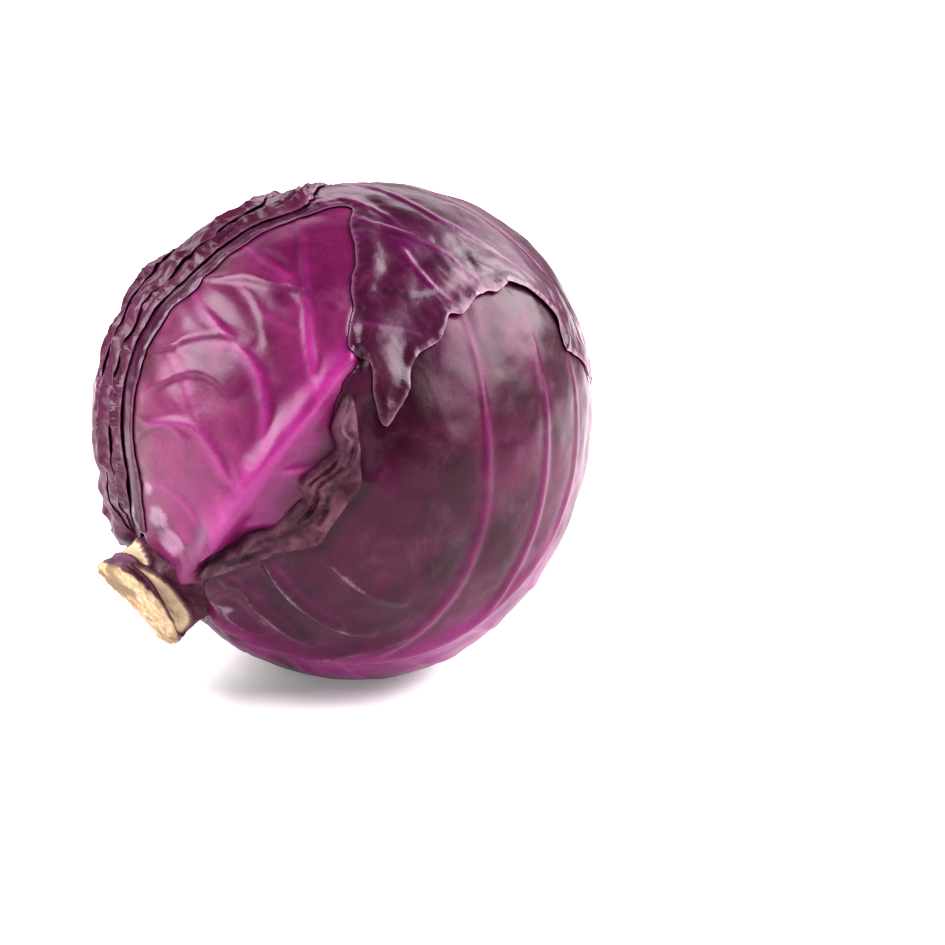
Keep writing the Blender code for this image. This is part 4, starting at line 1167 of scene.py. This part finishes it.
# Colours are linear, amounts are shares, each for leaf_front, leaf_lower, leaf_top and the others. The rim
# colour is a painted highlight along the margins, the bloom colour also paints the highlights along the
# folds, and the deep colour also paints the shade in creases.
leafFinish = {
    "Blade": ((0.2, 0.024, 0.105), (0.07, 0.003, 0.03), (0.07, 0.003, 0.036), (0.095, 0.009, 0.048)),
    "Deep": ((0.125, 0.008, 0.062), (0.03, 0.002, 0.012), (0.035, 0.0015, 0.016), (0.05, 0.004, 0.024)),
    "Blush": ((0.28, 0.012, 0.165), (0.15, 0.005, 0.08), (0.12, 0.004, 0.075), (0.13, 0.007, 0.075)),
    "Vein": ((0.46, 0.05, 0.3), (0.19, 0.012, 0.11), (0.29, 0.03, 0.22), (0.24, 0.03, 0.16)),
    "Warm": ((0.11, 0.002, 0.055), (0.19, 0.006, 0.12), (0.13, 0.003, 0.095), (0.18, 0.006, 0.11)),
    "Dull": ((0.1, 0.022, 0.042), (0.09, 0.022, 0.045), (0.08, 0.02, 0.04), (0.08, 0.02, 0.04)),
    "Margin": ((0.12, 0.018, 0.055), (0.07, 0.012, 0.035), (0.06, 0.008, 0.03), (0.085, 0.014, 0.042)),
    "Rim Highlight": ((0.2, 0.05, 0.11), (0.14, 0.04, 0.08), (0.3, 0.14, 0.22), (0.24, 0.09, 0.16)),
    "Bloom And Highlight": ((0.45, 0.3, 0.4), (0.35, 0.24, 0.32), (0.4, 0.25, 0.36), (0.4, 0.28, 0.37)),
    "Blush Amount": (0.8, 0.7, 0.6, 0.6),
    "Vein Amount": (0.45, 0.5, 0.5, 0.5),
    "Bloom Amount": (0.1, 0.14, 0.14, 0.2),
    "Margin Amount": (0.8, 0.7, 0.5, 0.7),
    "Net Amount": (0.12, 0.1, 0.28, 0.2),
    "Dullness": (0.28, 0.27, 0.23, 0.26),
}
leafShine = (0.46, 0.26, 0.36, 0.35)
# dark and dusty are the turned part's own colours; creases is painted shade in its creases
turnedColours = {"dark": (0.055, 0.012, 0.026), "dusty": (0.15, 0.06, 0.09), "creases": (0.02, 0.004, 0.01)}
leafBump = (0.45, 0.0008)          # strength, and depth in metres


def leafMaterial(name):
    special = ("leaf_front", "leaf_lower", "leaf_top")
    number = special.index(name) if name in special else len(special)
    made, tree, shader = newMaterial(name + "Skin")
    skin = tree.nodes.new("ShaderNodeGroup")
    skin.node_tree = bladeGroup
    for label, values in leafFinish.items():
        value = values[number]
        skin.inputs[label].default_value = (*value, 1) if isinstance(value, tuple) else value
    colour, rough = skin.outputs["Color"], skin.outputs["Roughness"]
    if name == "leaf_lower":
        where = objectSpace(tree)
        dusty = mixColour(tree, spread(tree, noiseNode(tree, where, 110, 5, 0.65), 0.38, 0.66),
                          turnedColours["dark"], turnedColours["dusty"], "turned part")
        # painted shade in the creases of the turned part
        dusty = mixColour(tree, maskNode(tree, "creaseShade"), dusty, turnedColours["creases"], "its crease shade")
        turned = times(tree, maskNode(tree, "fold"), 0.9)
        colour = mixColour(tree, turned, colour, dusty, "turned")
        rough = plus(tree, rough, times(tree, turned, 0.2))
    tree.links.new(colour, shader.inputs["Base Color"])
    tree.links.new(rough, shader.inputs["Roughness"])
    bumped(tree, shader, skin.outputs["Height"], *leafBump)
    shader.inputs["Specular IOR Level"].default_value = leafShine[number]
    return made


stumpColours = {
    "cut": ((0.46, 0.31, 0.18), (0.72, 0.56, 0.38)),
    "dirt": (0.20, 0.12, 0.06),
    "scar": ((0.72, 0.58, 0.40), (0.48, 0.36, 0.22)),
    "skin": ((0.10, 0.018, 0.045), (0.20, 0.075, 0.13)),
    "wax": (0.36, 0.27, 0.34),
    "scarEdge": (0.16, 0.06, 0.06),
}
stumpBump = (0.7, 0.0012)


def stumpMaterial():
    made, tree, shader = newMaterial("stumpSkin")
    where = objectSpace(tree)
    broad = noiseNode(tree, where, 60, 4)
    fine = noiseNode(tree, where, 420, 5, 0.6)
    tan = mixColour(tree, spread(tree, fine, 0.35, 0.7), *stumpColours["cut"], "corky tan")
    dirt = times(tree, spread(tree, broad, 0.5, 0.66), 0.75)
    tan = mixColour(tree, dirt, tan, stumpColours["dirt"], "dirt")
    cream = mixColour(tree, spread(tree, broad, 0.45, 0.7), *stumpColours["scar"], "scars")
    purple = mixColour(tree, spread(tree, broad, 0.4, 0.65), *stumpColours["skin"], "purple skin")
    waxy = times(tree, spread(tree, noiseNode(tree, where, 110, 4, 0.6), 0.55, 0.75), 0.5)
    # on the stump this pale colour is only the waxy bloom of the skin
    purple = mixColour(tree, waxy, purple, stumpColours["wax"], "wax")
    colour = mixColour(tree, maskNode(tree, "scar"), purple, cream, "scars in the skin")
    rimMask = times(tree, maskNode(tree, "scarRim"), 0.7)
    colour = mixColour(tree, rimMask, colour, stumpColours["scarEdge"], "scar edges")
    colour = mixColour(tree, maskNode(tree, "cutFace"), colour, tan, "cut over skin")
    tree.links.new(colour, shader.inputs["Base Color"])
    shader.inputs["Roughness"].default_value = 0.65
    bumped(tree, shader, plus(tree, fine, broad), *stumpBump)
    return made


for name, piece in pieces.items():
    piece.data.materials.clear()
    piece.data.materials.append(stumpMaterial() if name == "stem" else leafMaterial(name))
    piece.name = piece.data.name = name + "_skin"
    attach(piece, "root")
    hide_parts(name)
print("finishes given")

# Plain white floor that is lit up away from the head, and soft boxes at both sides and behind:
# degrees from the front towards the right, degrees above the floor, metres away, size in metres, watts
studio = {
    "left": (-84, 37, 1.35, (1.0, 0.9), 30),
    "right": (94, 36, 1.35, (1.9, 0.95), 66),
    "behind": (180, 26, 1.6, (2.6, 0.6), 13),
    "worldLight": 0.15,
    "floorColour": (0.92, 0.92, 0.92),
    "glowFrom": (0.12, 0.55),          # metres from the head
    "floorGlow": (0.28, 1.2),          # near the head and beyond half a metre
}
bpy.ops.mesh.primitive_plane_add(size=12, location=(0, 3, 0))
floor = bpy.context.object
floor.name = "studioFloor"
paper, tree, shader = newMaterial("whitePaper")
shader.inputs["Base Color"].default_value = (*studio["floorColour"], 1)
shader.inputs["Roughness"].default_value = 0.6
length = tree.nodes.new("ShaderNodeVectorMath")
length.operation = "DISTANCE"
length.inputs[1].default_value = (0, -3, 0)
tree.links.new(objectSpace(tree), length.inputs[0])
glow = spread(tree, length.outputs["Value"], *studio["glowFrom"])
low, high = studio["floorGlow"]
glow = plus(tree, low, times(tree, glow, high - low))
glow = mixColour(tree, glow, (0.0, 0.0, 0.0), (1.0, 1.0, 1.0), "glow")
tree.links.new(glow, shader.inputs["Emission Color"])
shader.inputs["Emission Strength"].default_value = 1.0
floor.data.materials.append(paper)
aim = Vector((0, 0, 0.08))
for name in ("left", "right", "behind"):
    swing, rise, away, size, power = studio[name]
    light = bpy.data.lights.new(name + "Box", "AREA")
    light.shape = "RECTANGLE"
    light.size, light.size_y = size
    light.energy = power
    holder = bpy.data.objects.new(name + "Box", light)
    level = away * math.cos(rad(rise))
    offset = Vector((level * math.sin(rad(swing)), -level * math.cos(rad(swing)), 0))
    offset.z = away * math.sin(rad(rise))
    holder.location = aim + offset
    holder.rotation_euler = (-offset).to_track_quat("-Z", "Y").to_euler()
    bpy.context.scene.collection.objects.link(holder)
world = bpy.data.worlds.new("studioWorld")
world.use_nodes = True
world.node_tree.nodes["Background"].inputs["Color"].default_value = (1, 1, 1, 1)
world.node_tree.nodes["Background"].inputs["Strength"].default_value = studio["worldLight"]
bpy.context.scene.world = world

view = {"lens": 126.87, "at": (0.0, -1.06252, 0.3643), "aim": (0.03931923, 0.96184723, -0.27074694),
        "contrast": 0.8}         # below 1 deepens the darker tones
camera = bpy.data.objects.new("camera", bpy.data.cameras.new("camera"))
camera.data.lens = view["lens"]
camera.data.sensor_width = 36
camera.location = view["at"]
camera.rotation_euler = Vector(view["aim"]).to_track_quat("-Z", "Y").to_euler()
bpy.context.scene.collection.objects.link(camera)
bpy.context.scene.camera = camera
bpy.context.scene.view_settings.view_transform = "Standard"
bpy.context.scene.view_settings.gamma = view["contrast"]
print("studio set")
